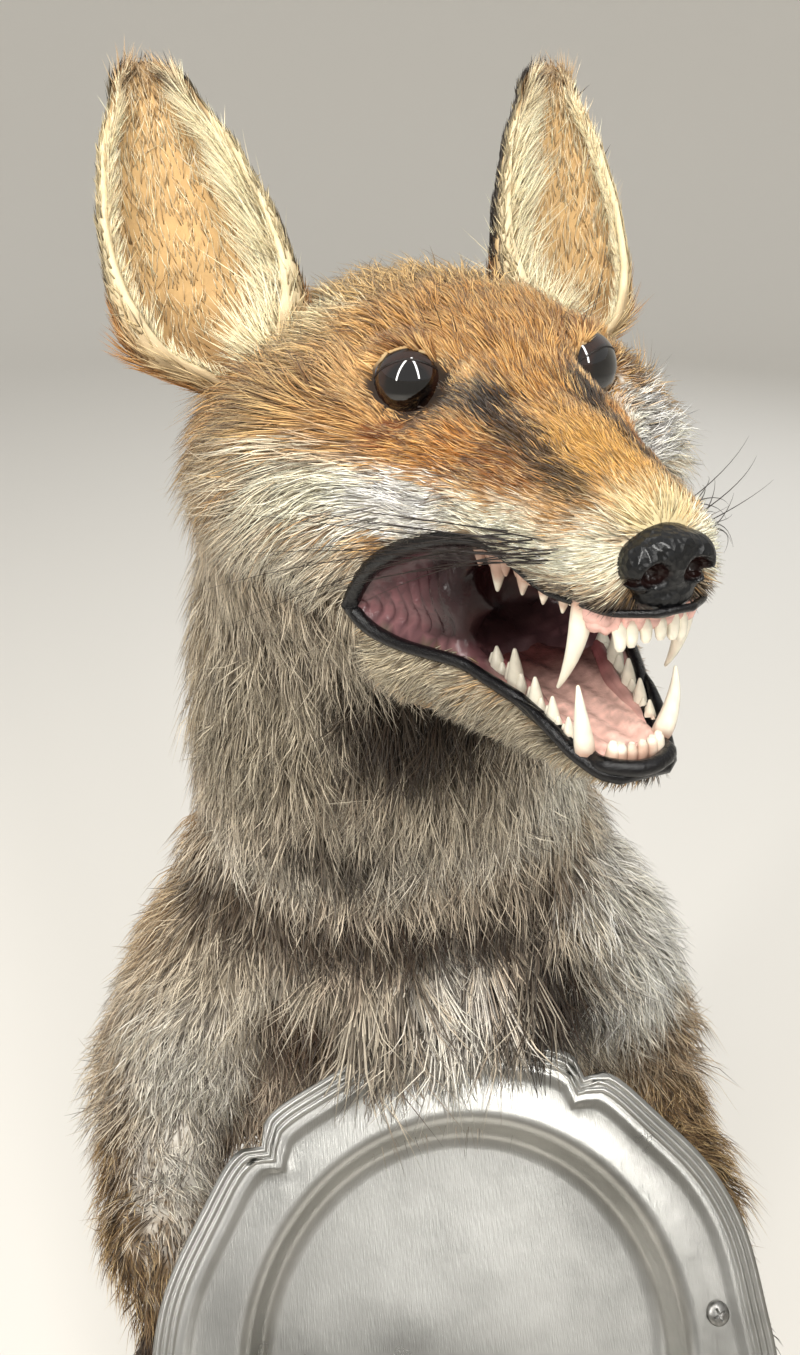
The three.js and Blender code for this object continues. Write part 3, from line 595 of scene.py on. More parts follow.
def markedAndShadedColours(points, shares):
    local = toHead(points)
    _, y, z = local.T
    onHead = shares[0] > 0.3
    colour = shares.T @ np.array([linear(baseColours[name]) for name in plainNames])
    wander = 0.14 * waves(points, 9, 5) + 0.1 * waves(points, 3.5, 6)
    for group, spots in marksAndShade.items():
        where, share = (local, shares[0]) if group.startswith("head") else (points, 1 - shares[0])
        if group.endswith("Pairs"):
            where = np.abs(where * [1, 0, 0]) + where * [0, 1, 1]
        for middle, reach, hexColour, strength in spots:
            away = np.sqrt((((where - middle) / reach) ** 2).sum(1)) + wander
            colour = tint(colour, hexColour, strength * (1 - smooth(away, 0.55, 1.3))
                          * np.clip(share * 1.6, 0, 1))
    # dark skin round the lids and cream above them, and short grey speckle over the upper lip
    for ring, _, near, v in roundEyes(local, 26, -6):
        cream = near * (v > 0) * smooth(ring, 1.2, 1.35) * (1 - smooth(ring, 1.4, 1.7))
        colour = tint(colour, "#D9C69C", 0.5 * cream)
        colour = tint(colour, "#35291F", 0.9 * near * (1 - smooth(ring, 1.03, 1.15 - 0.03 * np.sign(v))))
    above = z - valueAt(lipLine["upper"], y)
    below = valueAt(lipLine["lower"], y) - z
    speckle = (1 - smooth(above + 1.2 * waves(points, 2.2, 9), 2.0, 4.6)) * smooth(-y, 42, 60)
    colour = tint(colour, "#4D4A43", 0.75 * speckle * onHead * (z > -50))
    # dark edges along both lips
    rim = np.maximum((1 - smooth(below, 1.5, 5)) * (below > -3) * (y < 0),
                     (1 - smooth(above, 0.4, 2.2)) * (y < -2) * (z > -50)) * onHead
    return tint(colour, "#2A221D", 0.8 * np.clip(rim, 0, 1)), local


def insideMouth(points, normals, local):
    # wet if between the lips, or if a ray straight out of the surface meets the other side of the mouth
    x, y, z = local.T
    wide = valueAt(mouthWide, y)
    upper, lower = valueAt(lipLine["upper"], y), valueAt(lipLine["lower"], y)
    turned = normals @ headTurn
    outward = np.stack([x * 0.9, np.minimum(y + 45, 0) * 0.6, 0 * x], 1)
    facing = (turned * outward).sum(1) / np.maximum(np.linalg.norm(outward, axis=1), 1)
    wet = (mouthDepth(local) > 0.6) & (np.abs(x) < wide) & (y < 1.5) & ((facing < 0.75) | (y > -56))
    within = (np.abs(x) < wide - 3.5) & (y < -4) & (y > -77)
    wet |= within & ((z > lower - 2) & (z < upper + 2) | (z > lower - 9) & (z < -52) & (turned[:, 2] > 0.1)
                     | (z < upper + 9) & (z > -52) & (turned[:, 2] < -0.3))
    # the skin sloping away outside the lower lip is dry again
    outside = np.abs(x) > valueAt(lipWide["lower"], y) + 1.5
    beyond = (z < lower + 0.5) & (y < -8) & ((facing > 0.25) | outside)
    wet &= ~beyond
    near = (np.abs(x) < 38) & (y > -84) & (y < 34) & (z < -28) & (z > -78)
    inverse = headMatrix.inverted()
    for index in np.flatnonzero(near & ~wet & ~beyond & (facing < 0.3)):
        start = Vector(points[index] + normals[index] * 1.5) * mm
        hit = skinTree.ray_cast(start, Vector(normals[index]), 0.055)[0]
        if hit is not None:
            at = inverse @ (hit / mm)
            wet[index] = at.z > -84 and abs(at.x) < 40 and at.y > -84
    return wet


def mouthColours(local, points):
    x, y, z = local.T
    colour = np.tile(linear("#4A2F33"), (len(local), 1))
    # the cheek web is painted lighter along the ridges of its folds and darker in their creases: painted
    # light and shade
    colour = tint(colour, "#7C5558", 0.75 * (0.5 + 0.5 * webFolds(local, 1.2)) * smooth(-z, 44, 58))
    # the middle of the mouth is painted near black towards its back: painted shade deep inside the mouth
    colour = tint(colour, "#150B0C", 0.8 * smooth(y, -34, -12) * (np.abs(x) < 26))
    colour = tint(colour, "#4A2425", 0.6 * (np.abs(x) < 20) * (z > -60))
    colour = tint(colour, "#1E1012", 0.85 * smooth(-y, 13, 27) * (z > -62))
    colour = tint(colour, "#D9A79B", smooth(-z, 62, 68) * smooth(-y, 34, 50))
    return uneven(colour, points, 0.12, 5, 21)


# fine solid hairs scatter light softly, with only a faint sheen
hairMaterial = paintedMaterial("Guard hair, fine locks with paler tips", {
    "Roughness": 0.62, "Specular IOR Level": 0.25, "Sheen Weight": 0.1, "Sheen Roughness": 0.5})
# tanned skin shows dull and dark between the hairs
hideMaterial = paintedMaterial("Tanned hide under the hair, matt with fine grain", {
    "Roughness": 0.8, "Specular IOR Level": 0.3, "Sheen Roughness": 0.5}, 900, 0.0003)
# modelling paste painted and varnished, so that it looks wet
wetMaterial = paintedMaterial("Painted mouth lining, mauve pink with a wet varnish", {
    "Roughness": 0.22, "Specular IOR Level": 0.5, "Sheen Roughness": 0.5}, 700, 0.00025)
gumMaterial = paintedMaterial("Gum and mouth floor, pink with a wet varnish", {
    "Roughness": 0.2, "Specular IOR Level": 0.55, "Sheen Roughness": 0.5}, 480, 0.0006)
# bare lids have a soft satin gleam
lidMaterial = paintedMaterial("Dark eyelid skin, satin with fine creases", {
    "Roughness": 0.42, "Specular IOR Level": 0.4, "Sheen Roughness": 0.5}, 1100, 0.0002)


def paintSkin(mesh):
    points = pointsOf(mesh)
    shares, _ = chainShares(points)
    colours, local = markedAndShadedColours(points, shares)
    colours = colours * 0.72
    for ring, _, near, _ in roundEyes(local, 26):
        colours = tint(colours, "#241C17", 0.9 * (1 - smooth(ring, 1.15, 1.4)) * near)
    wet = insideMouth(points, readMesh(mesh.vertex_normals, "vector"), local)
    colours[wet] = mouthColours(local, points)[wet]
    setColours(mesh, colours)
    mesh.materials.append(hideMaterial)
    mesh.materials.append(wetMaterial)
    first = readMesh(mesh.loops, "vertex_index", 1, np.int32)[:, 0]
    starts = readMesh(mesh.polygons, "loop_start", 1, np.int32)[:, 0]
    mesh.polygons.foreach_set("material_index", wet[first[starts]].astype(np.int32))


paintSkin(skinMesh)
print("markings painted")

# ears: a curled leaf each, drawn from a grid and thickened; rows of height, half width, front and back depth
earSet = {"spread": {-1: 59, 1: 50.5}, "lean": 0.1, "turn": 14, "thick": 1.9,
          "rows": [(0, 26, 12, 16), (20, 27.5, 11, 15), (39, 25, 8, 12.5), (58, 19, 5.5, 8.5),
                   (70, 12, 3.5, 5.5),
                   (80, 3, 1.2, 1.5)],
          "wrap": [(0, 158), (12, 138), (30, 118), (80, 100)]}


def earShape(side, z):
    # at a height: half width, depth in front and behind, how far round the leaf wraps, and the turned axes
    rows = np.array(earSet["rows"], float)
    half, front, back = (np.interp(z, rows[:, 0], rows[:, k]) for k in (1, 2, 3))
    turn = math.radians(earSet["turn"]) * side
    middle = side * (earSet["spread"][side] + z * earSet["lean"]), 54 + 30 * (np.maximum(z, 0) / 78) ** 1.3
    return half, front, back, np.radians(valueAt(earSet["wrap"], z)), math.cos(turn), math.sin(turn), middle


def earPoint(side, across, up):
    # across -1 to 1 round the open leaf, up 0 at the base to 1 at the tip, in the head's frame
    z = up * 80
    half, front, back, wrap, c, s, (midX, midY) = earShape(side, z)
    half = half * np.where(z > 70, np.sqrt(np.clip(1 - ((z - 70) / 10.5) ** 2, 0.05, 1))
                           / (1 - (z - 70) / 14), 1)
    angle = across * wrap
    u = np.sin(angle) * half
    v = np.where(np.cos(angle) > 0, np.cos(angle) * back, np.cos(angle) * front)
    # below the head's surface the leaf closes in towards a stalk
    tuck = smooth(-z, -6, 14)
    u, v = u * (1 - 0.55 * tuck), v * (1 - 0.3 * tuck)
    return np.stack([midX - side * 13 * tuck + u * c - v * s, midY + u * s + v * c, z + 0 * across], -1)


def earEdge(side, local):
    # 0 along the back of the leaf, 1 at its open edges
    half, front, back, wrap, c, s, (midX, midY) = earShape(side, local[:, 2])
    x, y = local[:, 0] - midX, local[:, 1] - midY
    u, v = x * c + y * s, y * c - x * s
    return np.abs(np.arctan2(u / half, v / np.where(v > 0, back, front))) / wrap


def earLeaf(side):
    ear = bmesh.new()
    bmesh.ops.create_grid(ear, x_segments=44, y_segments=40, size=1)
    grid = np.array([v.co[:2] for v in ear.verts])
    places = toWorld(headMatrix, earPoint(side, grid[:, 0], (grid[:, 1] + 1) / 2 * 1.2 - 0.2))
    for vert, place in zip(ear.verts, places):
        vert.co = place * mm
    bmesh.ops.recalc_face_normals(ear, faces=ear.faces)
    middle = headPoint(earPoint(side, np.array([0.0]), np.array([0.4]))[0])
    backFace = min(ear.faces, key=lambda f: (f.calc_center_median() - middle).length)
    if backFace.normal.dot(headMatrix.to_3x3() @ Vector((0, 1, 0))) < 0:
        bmesh.ops.reverse_faces(ear, faces=ear.faces)
    bmesh.ops.solidify(ear, geom=ear.faces[:], thickness=earSet["thick"] * mm)
    if ear.calc_volume(signed=True) < 0:
        bmesh.ops.reverse_faces(ear, faces=ear.faces)
    return meshOf("ear", ear)


def makeEars(mesh):
    whole = bmesh.new()
    whole.from_mesh(mesh)
    for side in sides:
        part = earLeaf(side)
        points = pointsOf(part)
        local = toHead(points)
        z, edge = local[:, 2], earEdge(side, local)
        inner = (readMesh(part.vertex_normals, "vector") @ (headTurn @ np.array([0, -1.0, 0.1]))) > 0.05
        # tan inside with a cream rim, black behind, dark brown at the tip, and darker down in the base
        # inside, which is painted shade in the hollow of the ear
        colour = np.where(inner[:, None], linear("#C6A473"), linear("#2A201A"))
        colour = tint(colour, "#DECFAC", smooth(edge, 0.7, 0.88) * (1 - smooth(z, 58, 72)))
        colour = tint(colour, "#3E2C1D", smooth(z, 62, 78) * np.where(inner, smooth(edge, 0.6, 0.85), 1))
        colour = tint(colour, "#8A6A45", 0.6 * (1 - smooth(z + 3 * waves(points, 12, 31), 4, 26)) * inner)
        setColours(part, colour * (1 + 0.04 * waves(points, 16, 32) + 0.03 * waves(points, 3, 33))[:, None])
        whole.from_mesh(part)
        bpy.data.meshes.remove(part)
    whole.to_mesh(mesh)
    whole.free()


skinOnly = skinMesh.copy()
makeEars(skinMesh)
finishPiece("skin", skinMesh, None, fleshNodes + ["ear_right", "ear_left"])
print("ears joined to the skin")

# the coat: small curved locks, each a three-sided tapering blade with rings at these shares of its length
coatFinish = {"seed": 11, "sink": 0.5, "droop": 0.92, "patch": 0.003,
              "short": ([0, 0.5], [1, 0.72]), "long": ([0, 0.36, 0.7], [1, 0.9, 0.55])}


def sampleRoots(mesh, draw):
    # roots spread evenly by area and density over the skin's triangles
    mesh.calc_loop_triangles()
    corners = readMesh(mesh.loop_triangles, "vertices", 3, np.int32)
    points, normals = pointsOf(mesh), readMesh(mesh.vertex_normals, "vector")
    a, b, c = (points[corners[:, k]] for k in range(3))
    area = np.linalg.norm(np.cross(b - a, c - a), axis=1) / 2
    total = np.cumsum(area * coatDensity((a + b + c) / 3, normals[corners].mean(1)))
    count = int(total[-1])
    even = (np.arange(count) + draw.random(count)) / count
    pick = np.searchsorted(total, even * total[-1]).clip(0, len(a) - 1)
    r, s = draw.random(count), draw.random(count)
    flip = r + s > 1
    r, s = np.where(flip, 1 - r, r)[:, None], np.where(flip, 1 - s, s)[:, None]
    n0, n1, n2 = (normals[corners[pick, k]] for k in range(3))
    return a[pick] + (b - a)[pick] * r + (c - a)[pick] * s, unit(n0 * (1 - r - s) + n1 * r + n2 * s)


def lockFaces(rings):
    # a closed foot, three sides between each pair of rings, and a point
    faces = [(0, 2, 1)]
    for k in range(rings - 1):
        for corner in range(3):
            a, b = k * 3 + corner, k * 3 + (corner + 1) % 3
            faces += [(a, b, b + 3), (a, b + 3, a + 3)]
    last = (rings - 1) * 3
    return np.array(faces + [(last + c, last + (c + 1) % 3, rings * 3) for c in range(3)])


def lockMesh(name, points, faces):
    mesh = bpy.data.meshes.new(name)
    mesh.vertices.add(len(points))
    mesh.vertices.foreach_set("co", points.astype(np.float32).ravel())
    mesh.loops.add(faces.size)
    mesh.loops.foreach_set("vertex_index", faces.astype(np.int32).ravel())
    mesh.polygons.add(len(faces))
    mesh.polygons.foreach_set("loop_start", np.arange(0, faces.size, 3, dtype=np.int32))
    mesh.update(calc_edges=True)
    return mesh


def makeLocks(name, locks, draw, kind="short"):
    # blades along a curve that lifts off the skin and lies back down towards its tip
    root, up, lie, length, width, lift, rootColour, middleColour, tipColour, maps = locks
    steps, taper = coatFinish[kind]
    count, rings = len(root), len(steps)
    size = rings * 3 + 1
    side = unit(np.cross(lie, up))
    bend = draw.normal(0, 0.1, count)
    ends = np.append(steps, 1.0)[None, :, None]
    sink = coatFinish["sink"] * np.minimum(1, length / 20)
    centre = (root - up * sink[:, None])[:, None] + length[:, None, None] * (
        lie[:, None] * np.cos(lift)[:, None, None] * ends
        + up[:, None] * np.sin(lift)[:, None, None] * (ends - 0.5 * coatFinish["droop"] * ends ** 2)
        + side[:, None] * bend[:, None, None] * ends ** 2)
    turn = draw.uniform(0, fullTurn, count)
    points, shades, spot = (np.empty((count, size, wide)) for wide in (3, 3, 2))
    points[:, -1], shades[:, -1], spot[:, -1] = centre[:, -1], tipColour, maps + [0, coatFinish["patch"] / 2]
    for k, (step, thin) in enumerate(zip(steps, taper)):
        tone = rootColour * (1 - step) ** 1.5 + middleColour * (1 - (1 - step) ** 1.5)
        tone = tone + (tipColour - tone) * max(0, (step - 0.3) / 0.7)
        for corner in range(3):
            angle = turn + corner * fullTurn / 3
            out = side * np.cos(angle)[:, None] + up * (0.5 * np.sin(angle))[:, None]
            points[:, k * 3 + corner] = centre[:, k] + out * (width * thin / 2)[:, None]
            shades[:, k * 3 + corner] = tone
            # each lock has its own small patch on the unwrapped skin
            spot[:, k * 3 + corner] = maps + coatFinish["patch"] * np.array([(corner - 1) / 2, step - 0.5])
    faces = (np.arange(count)[:, None, None] * size + lockFaces(rings)[None]).reshape(-1, 3)
    mesh = lockMesh(name, points.reshape(-1, 3) * mm, faces)
    setColours(mesh, shades.reshape(-1, 3))
    layer = mesh.uv_layers.new(name="OFBake")
    layer.uv.foreach_set("vector", spot.reshape(-1, 2)[faces.ravel()].astype(np.float32).ravel())
    finishPiece(name, mesh, hairMaterial)
    print(name, count, "locks,", len(faces), "triangles")


def hairLie(local, normals, shares, lies):
    # away from the nose on the head, parted round the eyes, and along each part's chain elsewhere
    face = faceShare(local)
    low, under = smooth(-local[:, 2], -12, 22), smooth(-local[:, 2], 66, 84)
    away = unit(local - noseTip)
    away += np.stack([0 * face, 0.25 + 0 * face, -1.0 * low], 1) * ((1 - face) * 0.9)[:, None]
    away += np.stack([0 * face, 0.7 * under, -0.5 * under], 1)
    for ring, offset, near, _ in roundEyes(local, 30):
        away += unit(offset) * (0.3 * np.exp(-np.maximum(ring - 1, 0) * 2.2) * near)[:, None]
    lies = lies.copy()
    lies[0] = unit(away) @ headTurn.T
    lie = np.einsum("kn,knd->nd", shares, lies)
    lie[:, 2] -= 0.25 * (1 - face * shares[0])
    return unit(lie - normals * (lie * normals).sum(1)[:, None])


def unwrapped(points, owner):
    # angle round and length along each body part's own axis, side by side to fill the map
    places = np.empty((len(points), 2))
    found = np.unique(owner)
    for column, index in enumerate(found):
        mine = owner == index
        chain = np.array(chains[chainNames[index]], float)[:, :3]
        axis = (chain[-1] - chain[0]) / np.linalg.norm(chain[-1] - chain[0])
        first = np.cross(axis, [0.3, 1, 0.2])
        first /= np.linalg.norm(first)
        away = points[mine] - chain.mean(0)
        around = np.arctan2(away @ np.cross(axis, first), away @ first) / fullTurn + 0.5
        along = away @ axis
        along = (along - along.min()) / max(np.ptp(along), 1e-6)
        places[mine] = np.stack([(column + 0.02 + 0.96 * around) / len(found), 0.01 + 0.98 * along], 1)
    return places


def overDish(points, normals):
    # 1 on the breast just above the dish, where the hair hangs out over its rim
    across = np.abs(points[:, 0] - 14) + 6 * waves(points, 14, 64)
    return (1 - smooth(across, 32, 50)) * (normals[:, 1] < -0.3) \
        * smooth(points[:, 2], 624, 632) * (1 - smooth(points[:, 2], 652, 668))


def lockColours(colours, points, shares, face, muzzle, over, draw):
    # light and dark hairs among the rest, more of them on the brow, neck and back
    tick = draw.normal(0, 1, len(points)) + 0.45 * waves(points, 6, 63)
    tone = (1 + 0.2 * tick).clip(0.45, 1.7)[:, None]
    red = ((colours[:, 0] - colours[:, 2]) / (colours[:, 0] + colours[:, 2]))[:, None]
    cream = linear("#F5EBD6") + (linear("#F2D596") - linear("#F5EBD6")) * smooth(red, 0.3, 0.6)
    soot = linear("#3A2A1E") + (linear("#4E2B12") - linear("#3A2A1E")) * smooth(red, 0.35, 0.65)
    bright = smooth(colours.mean(1), 0.02, 0.14)[:, None]
    bright = bright * (1 - 0.65 * smooth(red, 0.45, 0.75) * (1 - shares[0])[:, None])
    pale = smooth(tick, 0.1, 0.9)[:, None] * np.where(muzzle > 0.4, 0.6, 0.85)[:, None] * bright
    dark = smooth(-tick, 0.55, 1.2)[:, None] * np.where(muzzle > 0.4, 0.3, 0.75)[:, None]
    middle = colours * tone * (1 - 0.45 * over * (np.abs(points[:, 0] - 15) > 17))[:, None]
    tip = middle * 1.12 + (cream - middle * 1.12) * pale * 0.8
    tip = (tip + (soot - tip) * dark).clip(0, 1)
    middle = middle + (soot - middle) * dark * 0.6 + (cream - middle) * pale * 0.3
    # the roots are darker: partly the darker undercoat, partly painted shade down among the locks
    return middle * (0.62 * face + 0.42 * (1 - face))[:, None] * [1.06, 0.98, 0.88], middle, tip


def locksOn(points, normals, draw):
    shares, lies = chainShares(points)
    local = toHead(points)
    x, y, z = local.T
    lie = hairLie(local, normals, shares, lies)
    face, muzzle = faceShare(local) * shares[0], smooth(-y, 30, 62) * shares[0]
    length, width, lift = partValue(shares, 1), partValue(shares, 2), np.radians(partValue(shares, 3))
    # a lock takes the colour of the place that it covers
    reach = length * (0.55 - 0.3 * face)
    colours, _ = markedAndShadedColours(points + lie * reach[:, None] + draw.normal(0, 1.6, points.shape), shares)
    colours = (colours * (1 + 0.16 * shares[0])[:, None]).clip(0, 1)
    length = length * (1 - face * 0.42) * (1 - muzzle * 0.35) + shares[0] * (1 - faceShare(local)) * 6
    width = width * (1 - face * 0.22 - muzzle * 0.12)
    lift = lift * (1 - face * 0.35)
    for ring, _, near, _ in roundEyes(local, 30):
        short = (1 - smooth(ring, 1.25, 2.6)) * near
        length, lift = length * (1 - 0.5 * short), lift * (1 - 0.4 * short)
    # a fuller tuft on the cheek behind the eye
    tuft = smooth(np.abs(x), 34, 46) * (1 - smooth(np.abs(y + 2), 12, 24)) \
        * (1 - smooth(np.abs(z + 20), 10, 20)) * shares[0]
    length, lift = length * (1 + 0.7 * tuft), lift + 0.22 * tuft
    above, below = z - valueAt(lipLine["upper"], y), valueAt(lipLine["lower"], y) - z
    nearLip = np.maximum(1 - smooth(np.abs(above), 0.5, 4),
                         1 - smooth(np.abs(below), 0.5, 5)) * (y < 2) * shares[0]
    length = length * (1 - 0.55 * nearLip)
    # hair gathers in clumps that lean together
    clump, fine = (np.stack([waves(points, scale, seed + k) for k in range(3)], 1) for scale, seed in (
        (13, 41), (4.5, 51)))
    loose = (1 - 0.55 * face)[:, None]
    lie = lie + (clump * 0.24 + fine * 0.10 + draw.normal(0, 0.12, points.shape)) * loose
    lie = unit(lie - normals * (lie * normals).sum(1)[:, None])
    lift = (lift * (1 + 0.25 * waves(points, 9, 61)) + draw.normal(0, 0.07, len(points))).clip(0.05, 1.15)
    length = length * draw.uniform(0.65, 1.15, len(points)) * (1 + 0.12 * waves(points, 14, 62))
    over = overDish(points, normals)
    lift = lift * (1 - over) + 1.08 * over
    length, width = length * (1 + 1.3 * over), width * (1 + 0.35 * over)
    elbow = smooth(np.abs(points[:, 0]), 96, 122) * (1 - smooth(np.abs(points[:, 2] - 530), 30, 70))
    elbow = elbow * (1 - shares[0])
    length, lift = length * (1 + 0.35 * elbow), lift + 0.3 * elbow
    colours = lockColours(colours, points, shares, face, muzzle, over, draw)
    return shares.argmax(0), local, (points, normals, lie, length, width, lift, *colours)


def coatDensity(points, normals):
    # locks per mm2: closer on the face, breast and lids, none in the mouth, on the nose or under the feet
    shares, _ = chainShares(points)
    local = toHead(points)
    _, y, z = local.T
    density = partValue(shares, 4) * (1 + 1.0 * faceShare(local) * shares[0])
    front = smooth(-normals[:, 1], -0.2, 0.5) * smooth(points[:, 2], 520, 640)
    density = density * (1 + 0.45 * front * (1 - shares[0]))
    breast = (np.abs(points[:, 0] - 12) < 48) & (normals[:, 1] < -0.3)
    breast = breast & (points[:, 2] > 624) & (points[:, 2] < 668)
    density = density * (1 + 2.3 * breast)
    bald = insideMouth(points, normals, local)
    for ring, _, near, _ in roundEyes(local, 26):
        density = density * (1 + 1.9 * (ring < 1.7) * near)
    for ring, _, near, _ in roundEyes(local, 22, -6):
        bald |= (ring < 1.03) & near
    nose = [(((local - middle) / reach) ** 2).sum(1) < 1 for middle, reach in (
        ([0, -80, -28.5], [8.4, 6.6, 6.6]), ([0, -80, -36], [5, 6, 5]))]
    lips = (np.abs(z - valueAt(lipLine["upper"], y)) < 0.8) & (y < 0) & (z > -45)
    bald |= (nose[0] | nose[1] | lips) & (shares[0] > 0.15)
    bald |= (points[:, 2] < 31) & (normals[:, 2] < -0.5)
    return density * ~bald


def growCoat():
    draw = np.random.default_rng(coatFinish["seed"])
    owner, local, locks = locksOn(*sampleRoots(skinOnly, draw), draw)
    names, headY = plainNames[owner], local[:, 1]
    left = np.where(names == "head", local[:, 0], locks[0][:, 0]) > 0
    groups = {"face": (names == "head") & (headY < 12), "nape": (names == "head") & (headY >= 12),
              "neck": names == "neck", "trunk": names == "trunk", "arms": np.isin(names, ["arm", "forearm"]),
              "paws": np.isin(names, ["paw", "foot"]), "legs": names == "leg", "tail": names == "tail"}
    for name, mine in groups.items():
        kind = "long" if name in ("legs", "tail") else "short"
        # a piece that would have too many triangles is parted down the middle
        whole = mine.sum() * (16 if kind == "long" else 10) < 190000
        for ending, some in [("", mine)] if whole else [("_right", mine & ~left), ("_left", mine & left)]:
            maps = unwrapped(locks[0][some], owner[some])
            makeLocks("coat_" + name + ending, [*(values[some] for values in locks), maps], draw, kind)
    bpy.data.meshes.remove(skinOnly)


# ear hair: short black plush behind, long cream hair inside both edges, a dark fringe at the tip
earHair = {"seed": 77, "count": {"back": 2700, "inside": 2700, "edge": 4200}}


def earFrame(side, across, up):
    # a place on the leaf, the ways round and up it, and the way out of its back
    at = earPoint(side, across, up)
    du = earPoint(side, across + 0.02, up) - at
    dv = earPoint(side, across, up + 0.02) - at
    axis = at.copy()
    axis[:, :2] = sum(earPoint(side, across * 0 + place, up)[:, :2] * share for place, share in (
        (0, 0.5), (0.99, 0.25), (-0.99, 0.25)))
    out = unit(np.cross(du, dv) * side)
    return at, unit(du), unit(dv), out * np.where(((at - axis) * out).sum(1) < 0, -1, 1)[:, None]


def earLocks(side, kind, count, draw):
    def scatter(amount):
        return amount * draw.normal(0, 1, (count, 3))

    across = draw.uniform(-0.97, 0.97, count)
    up = draw.uniform(-0.13, 0.97, count)
    if kind == "edge":
        across = np.sign(across) * (1 - np.abs(draw.normal(0, 0.17, count))).clip(0.3, 0.995)
    at, du, dv, out = earFrame(side, across, up)
    tip, rim = smooth(up, 0.78, 0.95), smooth(np.abs(across), 0.72, 0.92)
    normal = out if kind == "back" else -out
    root = at + normal * (0.2 if kind == "back" else earSet["thick"] + 0.1)
    towards = np.sign(across)[:, None] * du
    base = np.tile(linear({"back": "#241B15", "edge": "#EBDDB9", "inside": "#F5EACB"}[kind]), (count, 1))
    if kind == "back":
        lie = dv + scatter(0.25)
        length = draw.uniform(4, 7.5, count) + 9 * (1 - smooth(up, -0.05, 0.25))
        width, lift = 0.62, np.full(count, 0.2)
        low = 1 - smooth(up + 0.05 * draw.normal(0, 1, count), 0.08, 0.3)
        colour = tint(tint(base, "#A9773F", low), "#D6C49A", 0.75 * rim * (1 - tip))
    elif kind == "edge":
        lie = dv + 0.35 * towards + scatter(0.2)
        medial = np.where(across * side < 0, 1.0, 0.0)
        length = draw.uniform(7, 14, count) * (0.62 + 0.75 * medial) * (1 - 0.45 * tip)
        length = length * (1 + 0.7 * medial * (1 - smooth(up, 0.35, 0.75)))
        width, lift = 0.55, np.radians(draw.uniform(16, 36, count))
        colour = tint(base, "#4A3322", tip * rim)
    else:
        lie = dv + 0.5 * towards * np.abs(across)[:, None] + scatter(0.25)
        length = draw.uniform(6, 12, count) * (0.55 + 0.7 * np.abs(across))
        width, lift = 0.34, np.radians(draw.uniform(14, 24, count))
        colour = tint(tint(base, "#CDAA76", 1 - draw.uniform(0, 1, count)), "#8A6238", 0.6 * tip)
    lie = unit(lie - normal * (lie * normal).sum(1)[:, None])
    colour = (colour * (1 + 0.2 * draw.normal(0, 1, count)).clip(0.5, 1.5)[:, None]).clip(0, 1)
    column = list(earHair["count"]).index(kind) + 0.5
    maps = np.stack([(column + 0.47 * across) / 3, 0.02 + 0.96 * up], 1)
    return (root, normal, lie, length, np.full(count, width), lift, colour * 0.8, colour,
            (colour * 1.2).clip(0, 1), maps)


def growEarHair():
    draw = np.random.default_rng(earHair["seed"])
    for side, ending in sides.items():
        parts = [earLocks(side, kind, count, draw) for kind, count in earHair["count"].items()]
        locks = [np.concatenate(values) for values in zip(*parts)]
        keep = locks[0][:, 2] > -11
        root, normal, lie, *rest = (values[keep] for values in locks)
        makeLocks("coat_ear" + ending, [toWorld(headMatrix, root), normal @ headTurn.T, lie @ headTurn.T,
                                        *rest],
                  draw)


growCoat()
growEarHair()

# glass eyes: the angles in degrees from the middle where pupil, iris, dark edge and white change over; the
# white is partly a painted reflection
eyeLook = {"pupil": 34, "iris": 54, "edge": 57, "white": 62}
# a blown glass dome, polished, mirrors the lamps as sharp points
eyeMaterial = paintedMaterial("Glass taxidermy eye, dark brown with a polished dome", {
    "Roughness": 0.03, "Coat Weight": 1.0, "Coat Roughness": 0.01, "IOR": 1.5})


def makeEye(side, ending):
    middle, axis, across, rise = eyeFrame(side)
    ball = bmesh.new()
    bmesh.ops.create_uvsphere(ball, u_segments=72, v_segments=48, radius=eyeSet["radius"] * mm)
    turn = Vector((0, 0, 1)).rotation_difference(headPoint(middle + axis) - headPoint(middle))
    bmesh.ops.transform(ball, matrix=Matrix.Translation(headPoint(middle)) @ turn.to_matrix().to_4x4(),
                        verts=ball.verts)
    mesh = meshOf("glass_eye" + ending, ball)
    local = toHead(pointsOf(mesh)) - middle
    u, v = local @ across, local @ rise
    angle = np.degrees(np.arccos((local @ axis / eyeSet["radius"]).clip(-1, 1)))
    colour = np.tile(linear("#060404"), (len(local), 1))
    iris = smooth(angle, eyeLook["pupil"] - 3, eyeLook["pupil"] + 4)[:, None]
    spokes = 0.5 + 0.5 * np.sin(np.arctan2(u, v) * 40)
    colour = colour * (1 - iris) + linear("#24120A") * (0.8 + 0.4 * spokes[:, None]) * iris
    colour = tint(colour, "#07080A", smooth(angle, eyeLook["iris"] - 3, eyeLook["iris"]))
    # a bluish white shows at the corners: partly the white of the eye, partly a painted reflection
    corner = smooth(np.abs(u) / np.maximum(np.hypot(u, v), 1e-6), 0.8, 0.95)
    setColours(mesh, tint(colour, "#76869C", smooth(angle, eyeLook["edge"], eyeLook["white"]) * corner))
    finishPiece("glass_eye" + ending, mesh, eyeMaterial, ["eye" + ending])


# lids: rolled rims round each opening as shares of its size, ball radius that they lie on, and thickness
lidSet = {"rims": ((1.0, 10.5, 0.28), (1.04, 10.45, 0.3)), "steps": 61}


